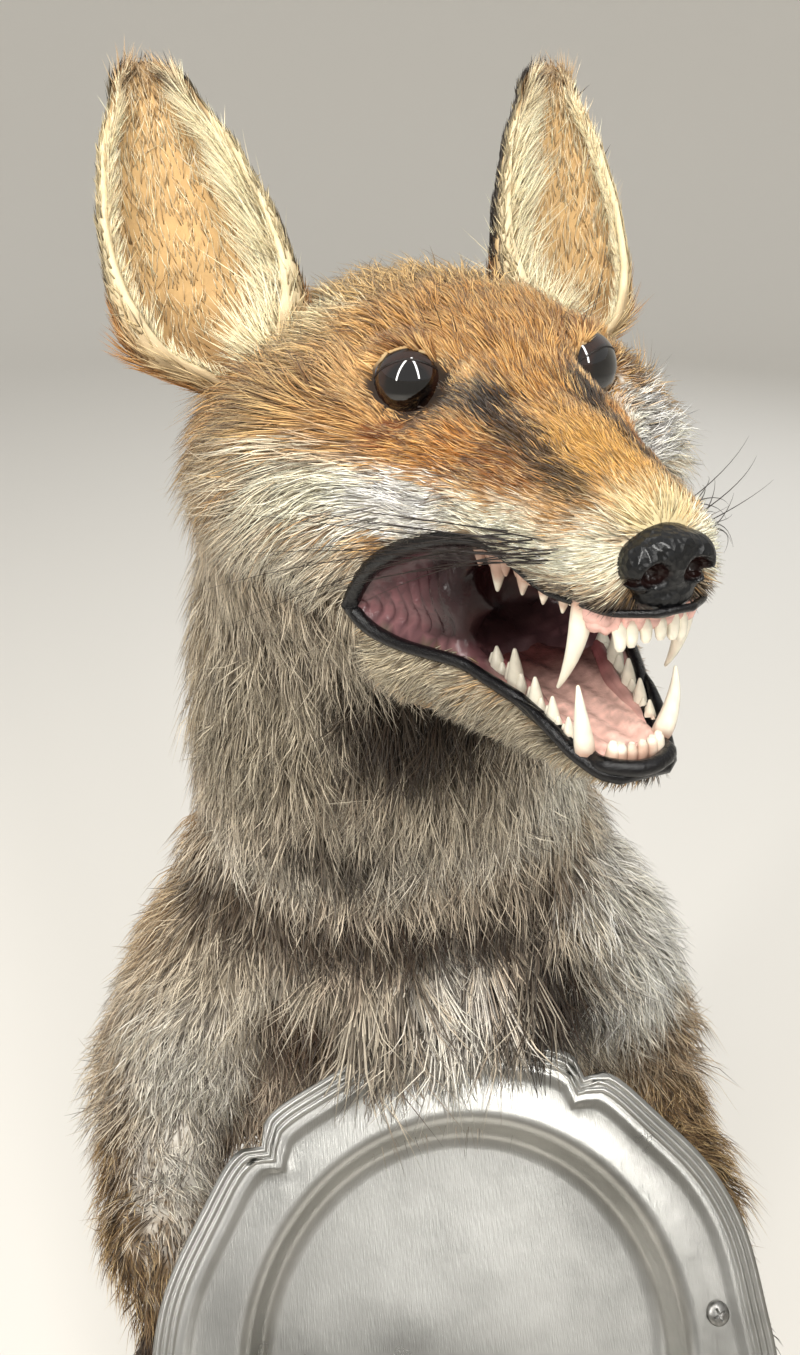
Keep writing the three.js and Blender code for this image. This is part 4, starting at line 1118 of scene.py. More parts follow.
def makeLids():
    strands = []
    for side in sides:
        middle, axis, across, rise = eyeFrame(side)
        for layer, (grow, ball, thick) in enumerate(lidSet["rims"]):
            strand = []
            for angle in np.linspace(0, fullTurn, lidSet["steps"]):
                c, s = (math.copysign(abs(f(angle)) ** (2 / eyeSet["pointed"]), f(angle))
                        for f in (math.cos, math.sin))
                inward = max(0.0, -c) ** 6     # drawn out towards the nose
                u = c * eyeSet["openWide"] * grow * (1 + 0.22 * inward)
                v = s * eyeSet["openTall"] * grow * (1.05 if s < 0 else 1) - 1.2 * inward
                v *= eyeSet["brow"][side] if s > 0 else 1
                flat, steep = math.hypot(u, v), ball * 0.93
                w = math.sqrt(ball ** 2 - flat ** 2) if flat < steep else ball * 0.37 - (flat - steep) * 0.9
                radius = thick * (1.25 if s < -0.1 else 0.8 - 0.4 * layer)
                radius *= 1 + 0.2 * math.sin(7 * angle + layer)
                strand.append((*toWorld(headMatrix, middle + across * u + rise * v + axis * w), radius))
            strands.append(strand)
    mesh = sweep("lids", strands, 3)
    setColours(mesh, uneven(linear("#1C1614"), pointsOf(mesh), 0.25, 4, 71))
    finishPiece("lids", mesh, lidMaterial)


for side, ending in sides.items():
    makeEye(side, ending)
makeLids()
print("eyes and lids set")

# nose leather: lobes drawn together, nostrils and the groove between them pressed in, fine pebbles over all
noseSet = {"voxel": 0.55, "pebbles": 620, "pebbleDepth": 0.0006,
           "lobes": [((0, -78.8, -28.4), (9.6, 8.0, 7.4)), ((6.1, -81.0, -28.6), (4.6, 6.0, 5.6)),
                     ((-6.1, -81.0, -28.6), (4.6, 6.0, 5.6)), ((0, -81.6, -25.0), (7.4, 5.0, 3.2)),
                     ((0, -80.5, -35.2), (7.2, 5.0, 4.2)), ((0, -79.5, -38.6), (5.4, 4.4, 2.6))],
           "nostrils": [(4.9, -88.4, -30.2, 3.7, 7.0, 3.2), (9.2, -84.6, -31.6, 1.9, 5.0, 1.1)],
           "groove": (0, -88.5, -33.6, 0.9, 3.2, 6.5)}


def pebbleGrain(tree):
    cells = addNode(tree, "ShaderNodeTexVoronoi", {"Scale": noseSet["pebbles"]}, {
        "Vector": addNode(tree, "ShaderNodeTexCoord", output="Object")})
    both = addNode(tree, "ShaderNodeMath", {"operation": "ADD"}, {0: cells, 1: grain(tree, 260)})
    return {"Base Color": addNode(tree, "ShaderNodeVertexColor", {"layer_name": "coatColour"}),
            "Normal": addNode(tree, "ShaderNodeBump", {"Strength": 0.9, "Distance": noseSet["pebbleDepth"]}, {
                "Height": both})}


def makeNose():
    lumps = bmesh.new()
    for middle, radii in noseSet["lobes"]:
        place = headMatrix @ Matrix.Translation(middle) @ Matrix.Diagonal((*radii, 1))
        bmesh.ops.create_icosphere(lumps, subdivisions=4, radius=1, matrix=Matrix.Scale(mm, 4) @ place)
    mesh = remeshed("nose_leather", meshOf("nose_leather", lumps), noseSet["voxel"])
    edges = readMesh(mesh.edges, "vertices", 2, np.int32)
    points = pointsOf(mesh)
    even = np.ones(len(points))
    local = toHead(relax(points, edges, even, 7))
    hollow = np.zeros(len(local))
    nostrils = [(s * x, *rest) for x, *rest in noseSet["nostrils"] for s in sides]
    for pit in nostrils + [noseSet["groove"]]:
        # surface inside the pit's egg shape is pushed back to its far wall
        x, y, z, a, b, c = pit
        flat = 1 - ((local[:, 0] - x) / a) ** 2 - ((local[:, 2] - z) / c) ** 2
        back = y + b * np.sqrt(flat.clip(0, 1))
        depth = np.where((flat > 0) & (local[:, 1] < y + b), (back - local[:, 1]).clip(0, None), 0)
        local[:, 1] += depth
        if pit in nostrils:
            hollow = np.maximum(hollow, smooth(depth, 0.8, 2.5))
    points = relax(toWorld(headMatrix, local), edges, even, 2)
    movePoints(mesh, points)
    setColours(mesh, tint(uneven(linear("#0A0B0D"), points, 0.25, 5, 81), "#221210", hollow))
    # black paint under varnish: near black, with broken highlights on the pebbles
    material = newMaterial("Painted nose leather, black with a varnished pebble grain", {
        "Roughness": 0.36, "Specular IOR Level": 0.3, "Coat Weight": 0.3, "Coat Roughness": 0.09},
        pebbleGrain)
    finishPiece("nose_leather", mesh, material, ["nose"])


makeNose()

# lips: glossy black rolls along the edge of the skin
lipSet = {"first": {"upper": -85, "lower": -79.3}, "last": 2.4, "steps": 52, "turnedDrop": 2.2,
          "turnedThick": 1.7}


def jawEdges():
    # half width of the lower jaw's skin at the height of its lip, by y, for each side
    along = np.linspace(-76, -26, 26)
    edges = {}
    for side in sides:
        row = []
        for y in along:
            drawn = valueAt(lipWide["lower"], y)
            start = headPoint([side * 50, y, valueAt(lipLine["lower"], y) - 1.2])
            hit = skinTree.ray_cast(start, headMatrix.to_3x3() @ Vector((-side, 0, 0)), 0.05)[0]
            x = abs(toHead([np.array(hit) / mm])[0, 0]) if hit else drawn
            row.append(x if drawn - 3 < x < drawn + 9 else drawn)
        row = np.array(row)
        for _ in range(4):
            row[1:-1] = (row[:-2] + 2 * row[1:-1] + row[2:]) / 4
        edges[side] = row
    return along, edges


jawAlong, jawWide = jawEdges()


def lowerWide(side, y):
    drawn = valueAt(lipWide["lower"], y)
    share = smooth(-y, 26, 36) * (1 - smooth(-y, 72, 77))
    return drawn + (np.interp(y, jawAlong, jawWide[side]) - drawn) * share


def lipStrand(which, side):
    first = lipSet["first"][which]
    path = []
    for y in first + (lipSet["last"] - first) * np.linspace(0, 1, lipSet["steps"]) ** 1.35:
        wide = lowerWide(side, y) if which == "lower" else valueAt(lipWide["upper"], y)
        place = [wide * side, y, valueAt(lipLine[which], y)]
        at = headPoint(place)
        found, gap = onSkin(place)
        if y > -74 and gap < 0.007:
            at = at.lerp(found, 0.75)
        path.append((*(np.array(at) / mm), valueAt(lipThick[which], y)))
    path = np.array(path)
    for _ in range(4):
        path[1:-1, :3] = (path[:-2, :3] + 2 * path[1:-1, :3] + path[2:, :3]) / 4
    return path


def makeLips():
    upper, lower = (np.vstack([lipStrand(which, -1)[::-1], lipStrand(which, 1)])
                    for which in ("upper", "lower"))
    # the two lips meet at each corner
    corners = [(upper[end] + lower[end]) / 2 + [0, 0, 0, 0.2] for end in (0, -1)]
    strands = [np.vstack([corners[0], lip, corners[1]]) for lip in (upper, lower)]
    # the lower lip is turned out under the front teeth
    turned = []
    for side in sides:
        for y in np.linspace(-46, -78, 16)[::-side]:
            place = (side * lowerWide(side, y), y, valueAt(lipLine["lower"], y) - lipSet["turnedDrop"])
            turned.append((*toWorld(headMatrix, place),
                           max(0.3, lipSet["turnedThick"] * (1 - smooth(y, -62, -44)))))
    strands.append(turned)
    # wet black skin with fine creases that break up its highlights
    material = newMaterial("Lip skin, black with a wet varnish and fine creases", {
        "Base Color": colour4("#0C0B0D"), "Roughness": 0.17, "Specular IOR Level": 0.42}, lambda tree: {
        "Normal": addNode(tree, "ShaderNodeBump", {"Strength": 0.8, "Distance": 0.0006}, {
            "Height": grain(tree, 420, 5.0, 0.65)})})
    finishPiece("lips", sweep("lips", strands, 4), material)


makeLips()

# teeth: curved canines, cusped cheek teeth and round incisors along an arch, with pink gum at the front;
# cheek teeth as place along the arch, height and radius
teethSet = {
    "upper": {"front": -78.0, "canine": (12.4, -70.5, -38.4), "back": (21.5, -36, -32.5),
              "tip": (14.2, -63.8, -61),
              "bow": (0.6, -4.6, 0), "radius": 2.75, "incisor": 5.6, "down": -1, "gum": 2.5, "frontDrop": 3.2,
              "lean": -1.4, "gumRows": ((-0.6, 1.4, 0.72), (1.6, 1.9, 0.95)),
              "cheek": [(0.2, 5.2, 1.7), (0.38, 5.8, 1.9), (0.56, 6.6, 2.1), (0.78, 9.5, 2.5),
                        (0.95, 6, 2.2)]},
    "lower": {"front": -75.5, "canine": (9.8, -69.3, -76.5), "back": (15.6, -32, -67.0),
              "tip": (12.6, -69.8, -58.8),
              "bow": (1.2, -2.2, 0), "radius": 2.6, "incisor": 4.3, "down": 1, "gum": 1.9, "frontDrop": 0.6,
              "lean": -0.6, "gumRows": ((-0.6, 2.4, 0.72), (0.5, 2.9, 0.95)),
              "cheek": [(0.2, 5.4, 1.7), (0.37, 6.8, 1.9), (0.54, 7.4, 2.1), (0.74, 9.5, 2.4),
                        (0.93, 5.5, 2.1)]},
}
incisorPitch = 0.052     # share of the arch from one incisor to the next


def curveThrough(points, steps):
    # smooth run through the given points
    p = np.asarray(points, float)
    p = np.vstack([2 * p[0] - p[1], p, 2 * p[-1] - p[-2]])
    out = []
    for i in range(len(p) - 3):
        a, b, c, d = p[i:i + 4]
        for t in np.linspace(0, 1, steps, endpoint=False):
            out.append(0.5 * (2 * b + (c - a) * t + (2 * a - 5 * b + 4 * c - d) * t * t
                              + (3 * b - a - 3 * c + d) * t ** 3))
    return np.array(out + [p[-2]])


def archOf(jaw):
    cx, cy, cz = jaw["canine"]
    bx, by, bz = jaw["back"]
    front = jaw["front"] + 1.5
    run = curveThrough([(-bx, by, bz), (-cx, cy, cz), (-cx / 2, front, cz), (cx / 2, front, cz), (cx, cy, cz),
                        (bx, by, bz)], 40)
    return lambda t: np.array([np.interp(t * (len(run) - 1), np.arange(len(run)), run[:, k])
                               for k in range(3)])


def tooth(base, tip, radius, blunt, bow=(0, 0, 0), sink=1.6):
    base, tip = np.array(base, float), np.array(tip, float)
    long = np.linalg.norm(tip - base)
    strand = []
    for t in np.linspace(-sink / long, 1, 12):
        s = max(t, 0)
        at = base + (tip - base) * t + np.array(bow) * 2 * s * (1 - s)
        strand.append((*toWorld(headMatrix, at),
                       radius * (0.9 + 0.1 * min(1, s * 6)) * (1 - (1 - blunt) * s ** 1.5)))
    for last in (0.35, 0.6):
        at = tip + (tip - base) / long * radius * blunt * last
        strand.append((*toWorld(headMatrix, at), radius * blunt * math.sqrt(1 - last ** 2) * 0.8))
    return strand


def makeTeeth(which):
    jaw = teethSet[which]
    arch, down = archOf(jaw), jaw["down"]
    strands = []
    for side in sides:
        canine, tip, bow = (np.array(jaw[key]) * [side, 1, 1] for key in ("canine", "tip", "bow"))
        strands.append(tooth(canine, tip, jaw["radius"], 0.16, bow))
        for along, height, radius in jaw["cheek"]:
            t = 0.2 * (1 - along) if side < 0 else 0.8 + 0.2 * along
            at, lean = arch(t), np.array([0, 0.8, down * height])
            ahead = arch(t + 0.012) - at
            ahead = ahead / np.linalg.norm(ahead)
            strands.append(tooth(at, at + lean, radius, 0.22))
            for way in (-1, 1):
                foot = at + ahead * way * radius * 0.95
                strands.append(tooth(foot, foot + lean * 0.48 + ahead * way * 0.3, radius * 0.72, 0.3))
        for k in range(3):
            at = arch(0.5 + side * incisorPitch * (k + 0.5)) - [0, 0, jaw["frontDrop"]]
            height = jaw["incisor"] * (1 + 0.12 * k) * 0.86
            strands.append(tooth(at, at + [0, jaw["lean"], down * height], 1.62 + 0.12 * k, 0.66,
                                 (0, -0.8, 0)))
    mesh = sweep(which + "_teeth_ivory", strands, 3)
    points = pointsOf(mesh)
    local = toHead(points)
    rise = (local[:, 2] - jaw["canine"][2]) * down
    stain = 1 - smooth(rise + 0.7 * waves(points, 4, 91), 0.5, 4.5)
    colour = tint(np.tile(linear("#EFE8D6"), (len(points), 1)), "#C39F8C", stain)
    # teeth further back are painted darker: painted shade inside the mouth
    colour = colour * (1 - 0.35 * smooth(local[:, 1], -62, -40))[:, None]
    setColours(mesh, uneven(colour, points, 0.05, 3, 92))
    # enamel is ivory and gleams, with a pinkish stain where it leaves the gum
    material = paintedMaterial("Tooth enamel, " + which + ", ivory and yellower at the gum", {
        "Roughness": 0.25, "Specular IOR Level": 0.5})
    finishPiece(which + "_teeth_ivory", mesh, material, [which + "_teeth"])


def makeGums():
    strands = []
    for which, jaw in teethSet.items():
        arch = archOf(jaw)
        for offset, inset, thick in jaw["gumRows"]:
            strand = []
            for t in np.linspace(0.0, 1.0, 121):
                at = arch(t) - [0, 0, jaw["down"] * offset]
                front = smooth(-at[1], 69, 75) * (which == "upper")
                # swells between the incisors
                swell = 1 + 0.13 * math.cos(fullTurn * (t - 0.5) / incisorPitch) * (0.2 < t < 0.8)
                swell *= 1 + 0.25 * front
                at = at - [0, 0, jaw["frontDrop"] * smooth(-at[1], 68, 74)]
                outward = np.array([at[0] * 0.7, at[1] + 45, 0])
                at = at - outward / max(np.linalg.norm(outward), 1) * inset * (1 - 0.85 * front)
                strand.append((*toWorld(headMatrix, at), jaw["gum"] * thick * swell))
            strands.append(strand)
    mesh = sweep("gums", strands, 4)
    points = pointsOf(mesh)
    # the gum is painted darker towards the back of the mouth: painted shade
    colour = tint(np.tile(linear("#E6B7AC"), (len(points), 1)), "#7A4748",
                  smooth(toHead(points)[:, 1], -66, -38))
    setColours(mesh, uneven(colour, points, 0.12, 5, 95))
    finishPiece("gums", mesh, gumMaterial)


# floor of the mouth between the lower teeth, a shallow uneven trough that deepens backwards
floorSet = {"front": -73.5, "long": 58, "half": 8.2, "widens": 9.5, "low": -76.8, "rises": 7.6, "hollow": 1.6,
            "thick": 1.6}


def makeFloor():
    floor = bmesh.new()
    bmesh.ops.create_grid(floor, x_segments=30, y_segments=50, size=1)
    for vert in floor.verts:
        across, along = vert.co.x, (vert.co.y + 1) / 2
        vert.co = (across * (floorSet["half"] + floorSet["widens"] * along),
                   floorSet["front"] + floorSet["long"] * along + 2.2 * across ** 2 * (1 - along),
                   floorSet["low"] + floorSet["rises"] * along ** 0.8 - floorSet["hollow"] * (1 - across ** 2)
                   + 0.5 * math.sin(9 * across + 14 * along))
    bmesh.ops.recalc_face_normals(floor, faces=floor.faces)
    bmesh.ops.solidify(floor, geom=floor.faces[:], thickness=floorSet["thick"])
    bmesh.ops.transform(floor, matrix=Matrix.Scale(mm, 4) @ headMatrix, verts=floor.verts)
    if floor.calc_volume(signed=True) < 0:
        bmesh.ops.reverse_faces(floor, faces=floor.faces)
    mesh = meshOf("mouth_floor", floor)
    points = pointsOf(mesh)
    # the floor is painted darker towards the back: painted shade deeper in the mouth
    colour = tint(np.tile(linear("#E8BDB0"), (len(points), 1)), "#55302E",
                  smooth(toHead(points)[:, 1], -58, -26))
    setColours(mesh, uneven(colour, points, 0.14, 4, 97))
    finishPiece("mouth_floor", mesh, gumMaterial)


makeTeeth("upper")
makeTeeth("lower")
makeGums()
makeFloor()
print("nose, lips and teeth made")

# whiskers: dark tapering bristles in four rows on each side of the muzzle, and a few over the brow and chin
whiskerSet = {"seed": 5, "rows": 4, "perRow": 5, "length": (50, 92), "thick": 0.2,
              "brow": ((20, -14, 13, 1.0), (23, -11, 14, 1.1), (17, -16, 12, 0.9)), "chin": 6}


def bristle(base, way, length, sag, thick=whiskerSet["thick"]):
    way = np.array(way) / np.linalg.norm(way)
    strand = []
    for t in np.linspace(0, 1, 9):
        at = np.array(base) + way * length * t + np.array(sag) * t * t
        strand.append((*toWorld(headMatrix, at), thick * (1 - 0.85 * t)))
    return strand


def bristleRoot(place):
    # the nearest place on the skin, in the head's frame
    return toHead([np.array(onSkin(place)[0]) / mm])[0]


def makeWhiskers():
    draw = np.random.default_rng(whiskerSet["seed"])
    strands = []
    for side in sides:
        for row in range(whiskerSet["rows"]):
            for k in range(whiskerSet["perRow"]):
                y = -72 + k * 4.6 + row * 1.1 + draw.normal(0, 0.6)
                z = -24 - row * 2.6 - k * 0.3 + draw.normal(0, 0.4)
                length = draw.uniform(*whiskerSet["length"]) * (0.65 + 0.07 * k)
                way = [side * draw.uniform(0.7, 1.1), draw.uniform(0.6, 1.0), draw.uniform(-0.28, 0.2)]
                sag = [-side * draw.uniform(0, 6), draw.uniform(5, 12), draw.uniform(-14, 2)]
                strands.append(bristle(bristleRoot([side * 26, y, z]), way, length, sag))
        for x, y, z, up in whiskerSet["brow"]:
            way = [side * 0.3, -0.2 + draw.normal(0, 0.2), up]
            strands.append(bristle([side * x, y, z], way, draw.uniform(14, 24), [side * 3, 8, 0], 0.11))
        for k in range(whiskerSet["chin"]):
            way = [side * 0.4, draw.uniform(-0.1, 0.4), -0.9]
            root = bristleRoot([side * 22, -66 + 5 * k, -84])
            strands.append(bristle(root, way, draw.uniform(8, 18), [0, 2, 1], 0.1))
    # stiff keratin, nearly black with a dull shine
    material = newMaterial("Whisker bristle, dark brown and springy", {
        "Base Color": colour4("#1E1612"), "Roughness": 0.4})
    finishPiece("whiskers", sweep("whiskers", strands, 0), material)
    print("whiskers", len(strands))


makeWhiskers()

# claws: curved horn from the end of each toe; toes as the paws have them, place of the paws in mm and degrees
clawSet = {"length": 10.8, "radius": 1.794, "down": 22, "spread": {-1: 12, 1: 6}, "frontDrop": 16.5,
           "splay": 10,
           "hindAt": (53, 0, 41.9), "hindSplay": 6}
toesSet = {"front": {"y": -18, "z": -2, "radius": 6.8, "spacing": 9.6, "lead": 7},
           "hind": {"y": -42, "z": -5.2, "radius": 7.9, "spacing": 10.4, "lead": 8}}


def speckled(low, high, scale, stretch=(1, 1, 1)):
    # two tones of the same stuff, in grains
    stops = [(0.3, low), (0.7, high)]
    return lambda tree: {"Base Color": addNode(tree, "ShaderNodeValToRGB", {"stops": stops}, {
        "Fac": grain(tree, scale, stretch=stretch)})}


def clawStrand(place, toes, i):
    x = (i - 1.5) * toes["spacing"] * 1.04
    end = toes["y"] - (toes["lead"] if i in (1, 2) else 0) - toes["radius"] * 1.35
    strand = []
    for t in np.linspace(0, 1, 9):
        angle = math.radians(clawSet["down"] * (0.2 + 1.5 * t))
        reach = clawSet["length"] * t
        at = (x, end + 3 - reach * math.cos(angle), toes["z"] + 0.5 - reach * math.sin(angle))
        strand.append((*toWorld(place, at), clawSet["radius"] * (1 - 0.88 * t ** 1.3)))
    return strand


def makeClaws():
    strands = []
    hindX, hindY, hindZ = clawSet["hindAt"]
    for side in sides:
        along = side * (screwPlace[0] + clawSet["spread"][side])
        places = {
            "front": dishMatrix @ Matrix.Translation((along, screwPlace[1], -clawSet["frontDrop"]))
            @ Matrix.Rotation(math.radians(side * clawSet["splay"]), 4, "Z"),
            "hind": Matrix.Translation((side * hindX, hindY, hindZ))
            @ Matrix.Rotation(math.radians(side * clawSet["hindSplay"]), 4, "Z")}
        strands += [clawStrand(place, toesSet[which], i) for which, place in places.items() for i in range(4)]
    # layered horn: dark, a little streaky, smooth from wear
    material = newMaterial("Claw horn, dark grey brown and polished by wear", {"Roughness": 0.32},
                           speckled("#2A221C", "#6A5B4A", 1.0, (300, 300, 300)))
    finishPiece("claws", sweep("claws", strands, 3), material)


makeClaws()

# dish: a spun profile with reeded edge, drawn in at five bracket notches
dishFinish = {"steps": 240, "reeds": 3, "reedFrom": 104.9, "reedWide": 2.35, "reedHigh": 0.95,
              "reed": ((0.0, 0.0), (0.2, 0.62), (0.45, 0.95), (0.7, 0.7), (0.9, 0.15))}


def spun(profile, steps):
    # a profile of (radius, height) turned once round the upright axis
    work = bmesh.new()
    verts = [work.verts.new((r, 0, z)) for r, z in profile]
    edges = [work.edges.new(pair) for pair in zip(verts, verts[1:])]
    bmesh.ops.spin(work, geom=verts + edges, cent=(0, 0, 0), axis=(0, 0, 1), angle=fullTurn, steps=steps,
                   use_merge=True, use_duplicate=False)
    return work


def dishEdge(angle):
    # how far the edge moves out, mm, by angle round the rim in degrees
    gap = 360 / dishSet["lobes"]
    off = abs((angle - dishSet["firstNotch"] + gap / 2) % gap - gap / 2)
    ripple = dishSet["swell"] * math.cos(math.radians(off * 10)) * math.exp(-off / 30)
    ripple *= 1 if off > 3 else 0.4
    return -dishSet["notch"] * math.exp(-off / 3.2) + ripple


def pewterPatterns(tree):
    turn = -math.radians(dishSet["tilt"])
    patches = grain(tree, 16, 5.0, 0.6, turn=(turn, 0, 0))
    scratches = grain(tree, 1.0, 4.0, 0.5, (2200, 90, 300), (turn, 0, 0.5))
    height = addNode(tree, "ShaderNodeMath", {"operation": "ADD"}, {
        0: scratches, 1: grain(tree, 55, turn=(turn, 0, 0))})
    return {"Base Color": addNode(tree, "ShaderNodeValToRGB", {
                "stops": [(0.25, "#8F8E8A"), (0.5, "#B4B3AF"), (0.75, "#C9C8C4")]}, {"Fac": patches}),
            "Roughness": addNode(tree, "ShaderNodeMapRange", {"To Min": 0.2, "To Max": 0.42},
                                 {"Value": patches}),
            "Normal": addNode(tree, "ShaderNodeBump", {"Strength": 0.35, "Distance": 0.00025},
                              {"Height": height})}


def makeDish():
    rim, well, floor, thick, depth = (dishSet[k] for k in ("rim", "well", "floor", "thick", "depth"))
    start, wide, high = (dishFinish[k] for k in ("reedFrom", "reedWide", "reedHigh"))
    top = [(0.01, -depth), (40, -depth), (floor - 4, -depth), (floor, -depth + 0.5),
           (floor + 3, -depth + 2.6),
           (well - 4, -3.2), (well - 1.5, -0.7), (well + 0.5, 0.15), (well + 2.5, 0.2), (91, 0.0),
           (97.5, -0.35), (99.5, 0.05), (101.2, 0.85), (start - 2.2, 1.05), (start - 0.8, 0.75)]
    top += [(start + (k + s) * wide, 0.65 + 0.12 * k + high * h)
            for k in range(dishFinish["reeds"]) for s, h in dishFinish["reed"]]
    top += [(rim - 0.15, 1.0), (rim, 0.4), (rim - 0.2, -0.5), (rim - 1.4, -1.1)]
    under = [(103, -thick), (well - 1, -thick), (floor + 1, -depth - thick + 0.6),
             (floor - 2, -depth - thick),
             (0.01, -depth - thick)]
    plate = spun([(r * mm, z * mm) for r, z in top + under], dishFinish["steps"])
    bmesh.ops.remove_doubles(plate, verts=plate.verts, dist=0.00003)
    bmesh.ops.recalc_face_normals(plate, faces=plate.faces)
    for vert in plate.verts:
        radius = math.hypot(vert.co.x, vert.co.y) / mm
        share = float(smooth(radius, well, 103))
        if share:
            move = 1 + share * dishEdge(math.degrees(math.atan2(vert.co.y, vert.co.x))) / radius
            vert.co.x *= move
            vert.co.y *= move
    bmesh.ops.transform(plate, matrix=Matrix.Scale(mm, 4) @ dishMatrix @ Matrix.Scale(1 / mm, 4),
                        verts=plate.verts)
    # soft grey metal: a cloudy mirror with dull patches and rubbing marks
    material = newMaterial("Pewter, spun and hand rubbed, with dull patches and fine scratches", {
        "Metallic": 1.0}, pewterPatterns)
    finishPiece("pewter_dish", meshOf("pewter_dish", plate), material, ["dish"])


# screws: domed heads with a cross slot, in mm; the slot as length, width and depth
screwSet = {"radius": 4.3, "high": 2.1, "slot": (4.6, 0.85, 1.9), "slotAt": 2.2, "turn": 0.4, "raise": 0.35}


def makeScrews():
    radius, high = screwSet["radius"] * mm, screwSet["high"] * mm
    # zinc plating, greyer where a driver has worn it
    material = newMaterial("Screw steel, plated, dulled round the slot", {"Metallic": 1.0, "Roughness": 0.35},
                           speckled("#6F6E6C", "#A9A8A5", 500))
    for side, ending in sides.items():
        head = bmesh.new()
        bmesh.ops.create_uvsphere(head, u_segments=40, v_segments=20, radius=1)
        bmesh.ops.transform(head, matrix=Matrix.Diagonal((radius, radius, high, 1)), verts=head.verts)
        bmesh.ops.bisect_plane(head, geom=head.verts[:] + head.edges[:] + head.faces[:], plane_co=(0, 0, 0),
                               plane_no=(0, 0, -1), clear_outer=True)
        bmesh.ops.holes_fill(head, edges=[e for e in head.edges if e.is_boundary])
        obj = objectOf("dish_screw" + ending, meshOf("screw", head))
        cutter = bmesh.new()
        for turn in (screwSet["turn"], screwSet["turn"] + math.pi / 2):
            place = Matrix.Translation((0, 0, screwSet["slotAt"] * mm)) @ Matrix.Rotation(turn, 4, "Z") \
                @ Matrix.Diagonal((*(s * mm for s in screwSet["slot"]), 1))
            bmesh.ops.create_cube(cutter, size=1, matrix=place)
        cut = objectOf("cut", meshOf("cut", cutter), False)
        boolean = obj.modifiers.new("slot", "BOOLEAN")
        boolean.operation, boolean.object, boolean.use_self = "DIFFERENCE", cut, True
        mesh = applied(obj)
        bpy.data.objects.remove(cut)
        mesh.transform(Matrix.Scale(mm, 4) @ dishMatrix
                       @ Matrix.Translation((side * screwPlace[0], screwPlace[1], screwSet["raise"]))
                       @ Matrix.Scale(1 / mm, 4))
        finishPiece("dish_screw" + ending, mesh, material, ["screw" + ending])


makeDish()
makeScrews()
print("dish made")

# stand: a rounded wooden board
baseSet = {"wide": 300, "deep": 370, "corner": 70, "middleY": 22, "thick": 28, "edge": 4}


def boardPatterns(tree):
    where = addNode(tree, "ShaderNodeMapping", {"Scale": (1, 0.12, 1)}, {
        "Vector": addNode(tree, "ShaderNodeTexCoord", output="Object")})
    rings = addNode(tree, "ShaderNodeTexWave", {"Scale": 16.0, "Distortion": 9.0, "Detail": 4.0}, {
        "Vector": where}, "Fac")
    both = addNode(tree, "ShaderNodeMath", {"operation": "ADD"}, {
        0: grain(tree, 1.0, 6.0, 0.6, (60, 5, 60)), 1: rings})
    half = addNode(tree, "ShaderNodeMath", {"operation": "MULTIPLY", 1: 0.5}, {0: both})
    return {"Base Color": addNode(tree, "ShaderNodeValToRGB", {
                "stops": [(0.2, "#4A2E1B"), (0.5, "#593721"), (0.8, "#654026")]}, {"Fac": half}),
            "Normal": addNode(tree, "ShaderNodeBump", {"Strength": 0.3, "Distance": 0.0004},
                              {"Height": half})}


def makeBase():
    wide, deep, thick, middle = (baseSet[k] * mm for k in ("wide", "deep", "thick", "middleY"))
    board = bmesh.new()
    bmesh.ops.create_cube(board, size=1, matrix=Matrix.Translation((0, middle, thick / 2))
                          @ Matrix.Diagonal((wide, deep, thick, 1)))
    upright = [e for e in board.edges if abs(e.verts[0].co.z - e.verts[1].co.z) > mm]
    bmesh.ops.bevel(board, geom=upright, offset=baseSet["corner"] * mm, offset_type="OFFSET", affect="EDGES",
                    segments=20, profile=0.5, material=-1)
    topEdge = [e for e in board.edges if min(v.co.z for v in e.verts) > thick - mm]
    bmesh.ops.bevel(board, geom=topEdge, offset=baseSet["edge"] * mm, offset_type="OFFSET", affect="EDGES",
                    segments=4, profile=0.5, material=-1)
    # brown stained wood, its grain just showing through the varnish
    material = newMaterial("Stained oak board, open grain under a thin satin varnish", {
        "Roughness": 0.4, "Coat Weight": 0.15, "Coat Roughness": 0.3}, boardPatterns)
    finishPiece("wooden_base", meshOf("wooden_base", board), material, ["stand_base"], False)


makeBase()
print("stand made")

# stage, light and camera; the floor is flat, then swept up into a low wall so that no horizon shows
studio = {"floor": "#DEDBD5", "air": "#E4E3E0", "airStrength": 0.72, "flat": 4.0, "sweep": 1.5,
          "wall": (6.2, 3.2)}
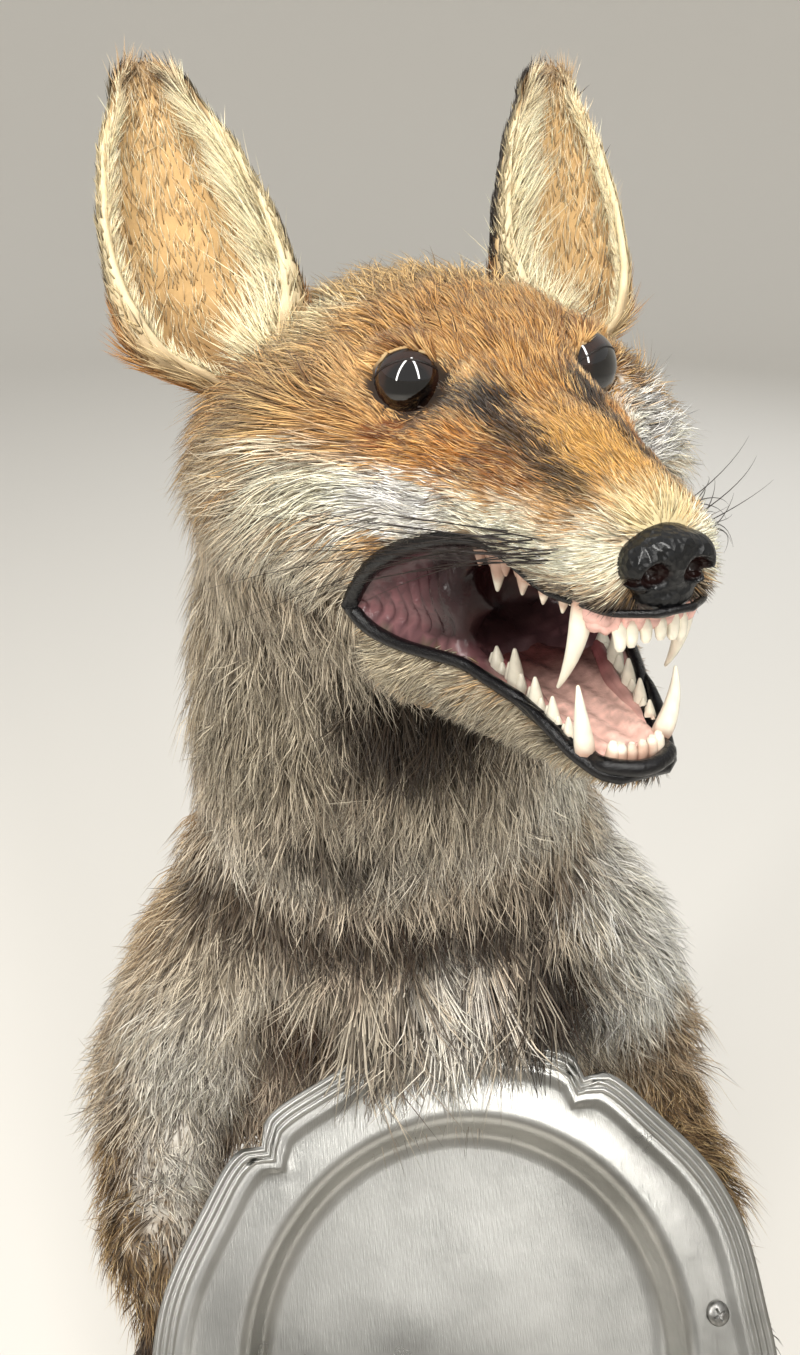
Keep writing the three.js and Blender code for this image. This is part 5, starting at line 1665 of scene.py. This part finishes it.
# place and height looked at in metres, width, height, watts, colour
lamps = {"strip_left": ((-1.0, -0.9, 2.3), 0.7, 0.16, 2.2, 26, "#FFFDF8"),
         "strip_right": ((0.35, -1.0, 2.4), 0.7, 0.16, 2.2, 26, "#FFFDF8"),
         "front_fill": ((-1.6, -2.2, 1.5), 0.6, 1.6, 1.6, 24, "#FFF8EE"),
         "top_key": ((-0.3, -1.1, 2.5), 0.7, 0.9, 0.9, 16, "#FFF9F0"),
         "back_fill": ((1.6, 2.4, 2.0), 0.5, 1.6, 1.6, 20, "#F4F8FF")}
cameraSet = {"place": (-0.0374, -0.3279, 0.9432), "tilt": 60, "turn": -6.5, "sensor": 36, "lens": 27.05}


def makeStage():
    rise = [(studio["flat"] + studio["sweep"] * math.sin(a), studio["sweep"] * (1 - math.cos(a)))
            for a in np.linspace(0, 1.35, 12)]
    floor = spun([(0.001, 0)] + rise + [studio["wall"]], 64)
    bmesh.ops.recalc_face_normals(floor, faces=floor.faces)
    obj = objectOf("floor", meshOf("floor", floor))
    # matt paper, pale enough to lift the shadows
    obj.data.materials.append(newMaterial("Pale studio floor", {
        "Base Color": colour4(studio["floor"]), "Roughness": 0.9}))
    world = bpy.data.worlds.new("studio")
    bpy.context.scene.world = world
    world.use_nodes = True
    air = world.node_tree.nodes["Background"].inputs
    air["Color"].default_value = colour4(studio["air"])
    air["Strength"].default_value = studio["airStrength"]


def addLight(name, place, lookAt, size, sizeY, power, hexColour):
    data = bpy.data.lights.new(name, "AREA")
    data.shape, data.size, data.size_y, data.energy = "RECTANGLE", size, sizeY, power
    data.color = linear(hexColour)
    obj = bpy.data.objects.new(name, data)
    bpy.context.scene.collection.objects.link(obj)
    obj.location = place
    obj.visible_glossy = sizeY > 2     # only the strips are mirrored in the glass and the pewter
    obj.rotation_euler = (Vector((0, 0, lookAt)) - Vector(place)).to_track_quat("-Z", "Y").to_euler()


def addCamera():
    camera = bpy.data.objects.new("camera", bpy.data.cameras.new("camera"))
    bpy.context.scene.collection.objects.link(camera)
    camera.location = cameraSet["place"]
    camera.rotation_euler = (math.radians(cameraSet["tilt"]), 0, math.radians(cameraSet["turn"]))
    camera.data.sensor_width, camera.data.lens = cameraSet["sensor"], cameraSet["lens"]
    camera.data.clip_start = 0.01
    bpy.context.scene.camera = camera


makeStage()
for name, lamp in lamps.items():
    addLight(name, *lamp)
addCamera()
bpy.context.scene.view_settings.view_transform = "Standard"
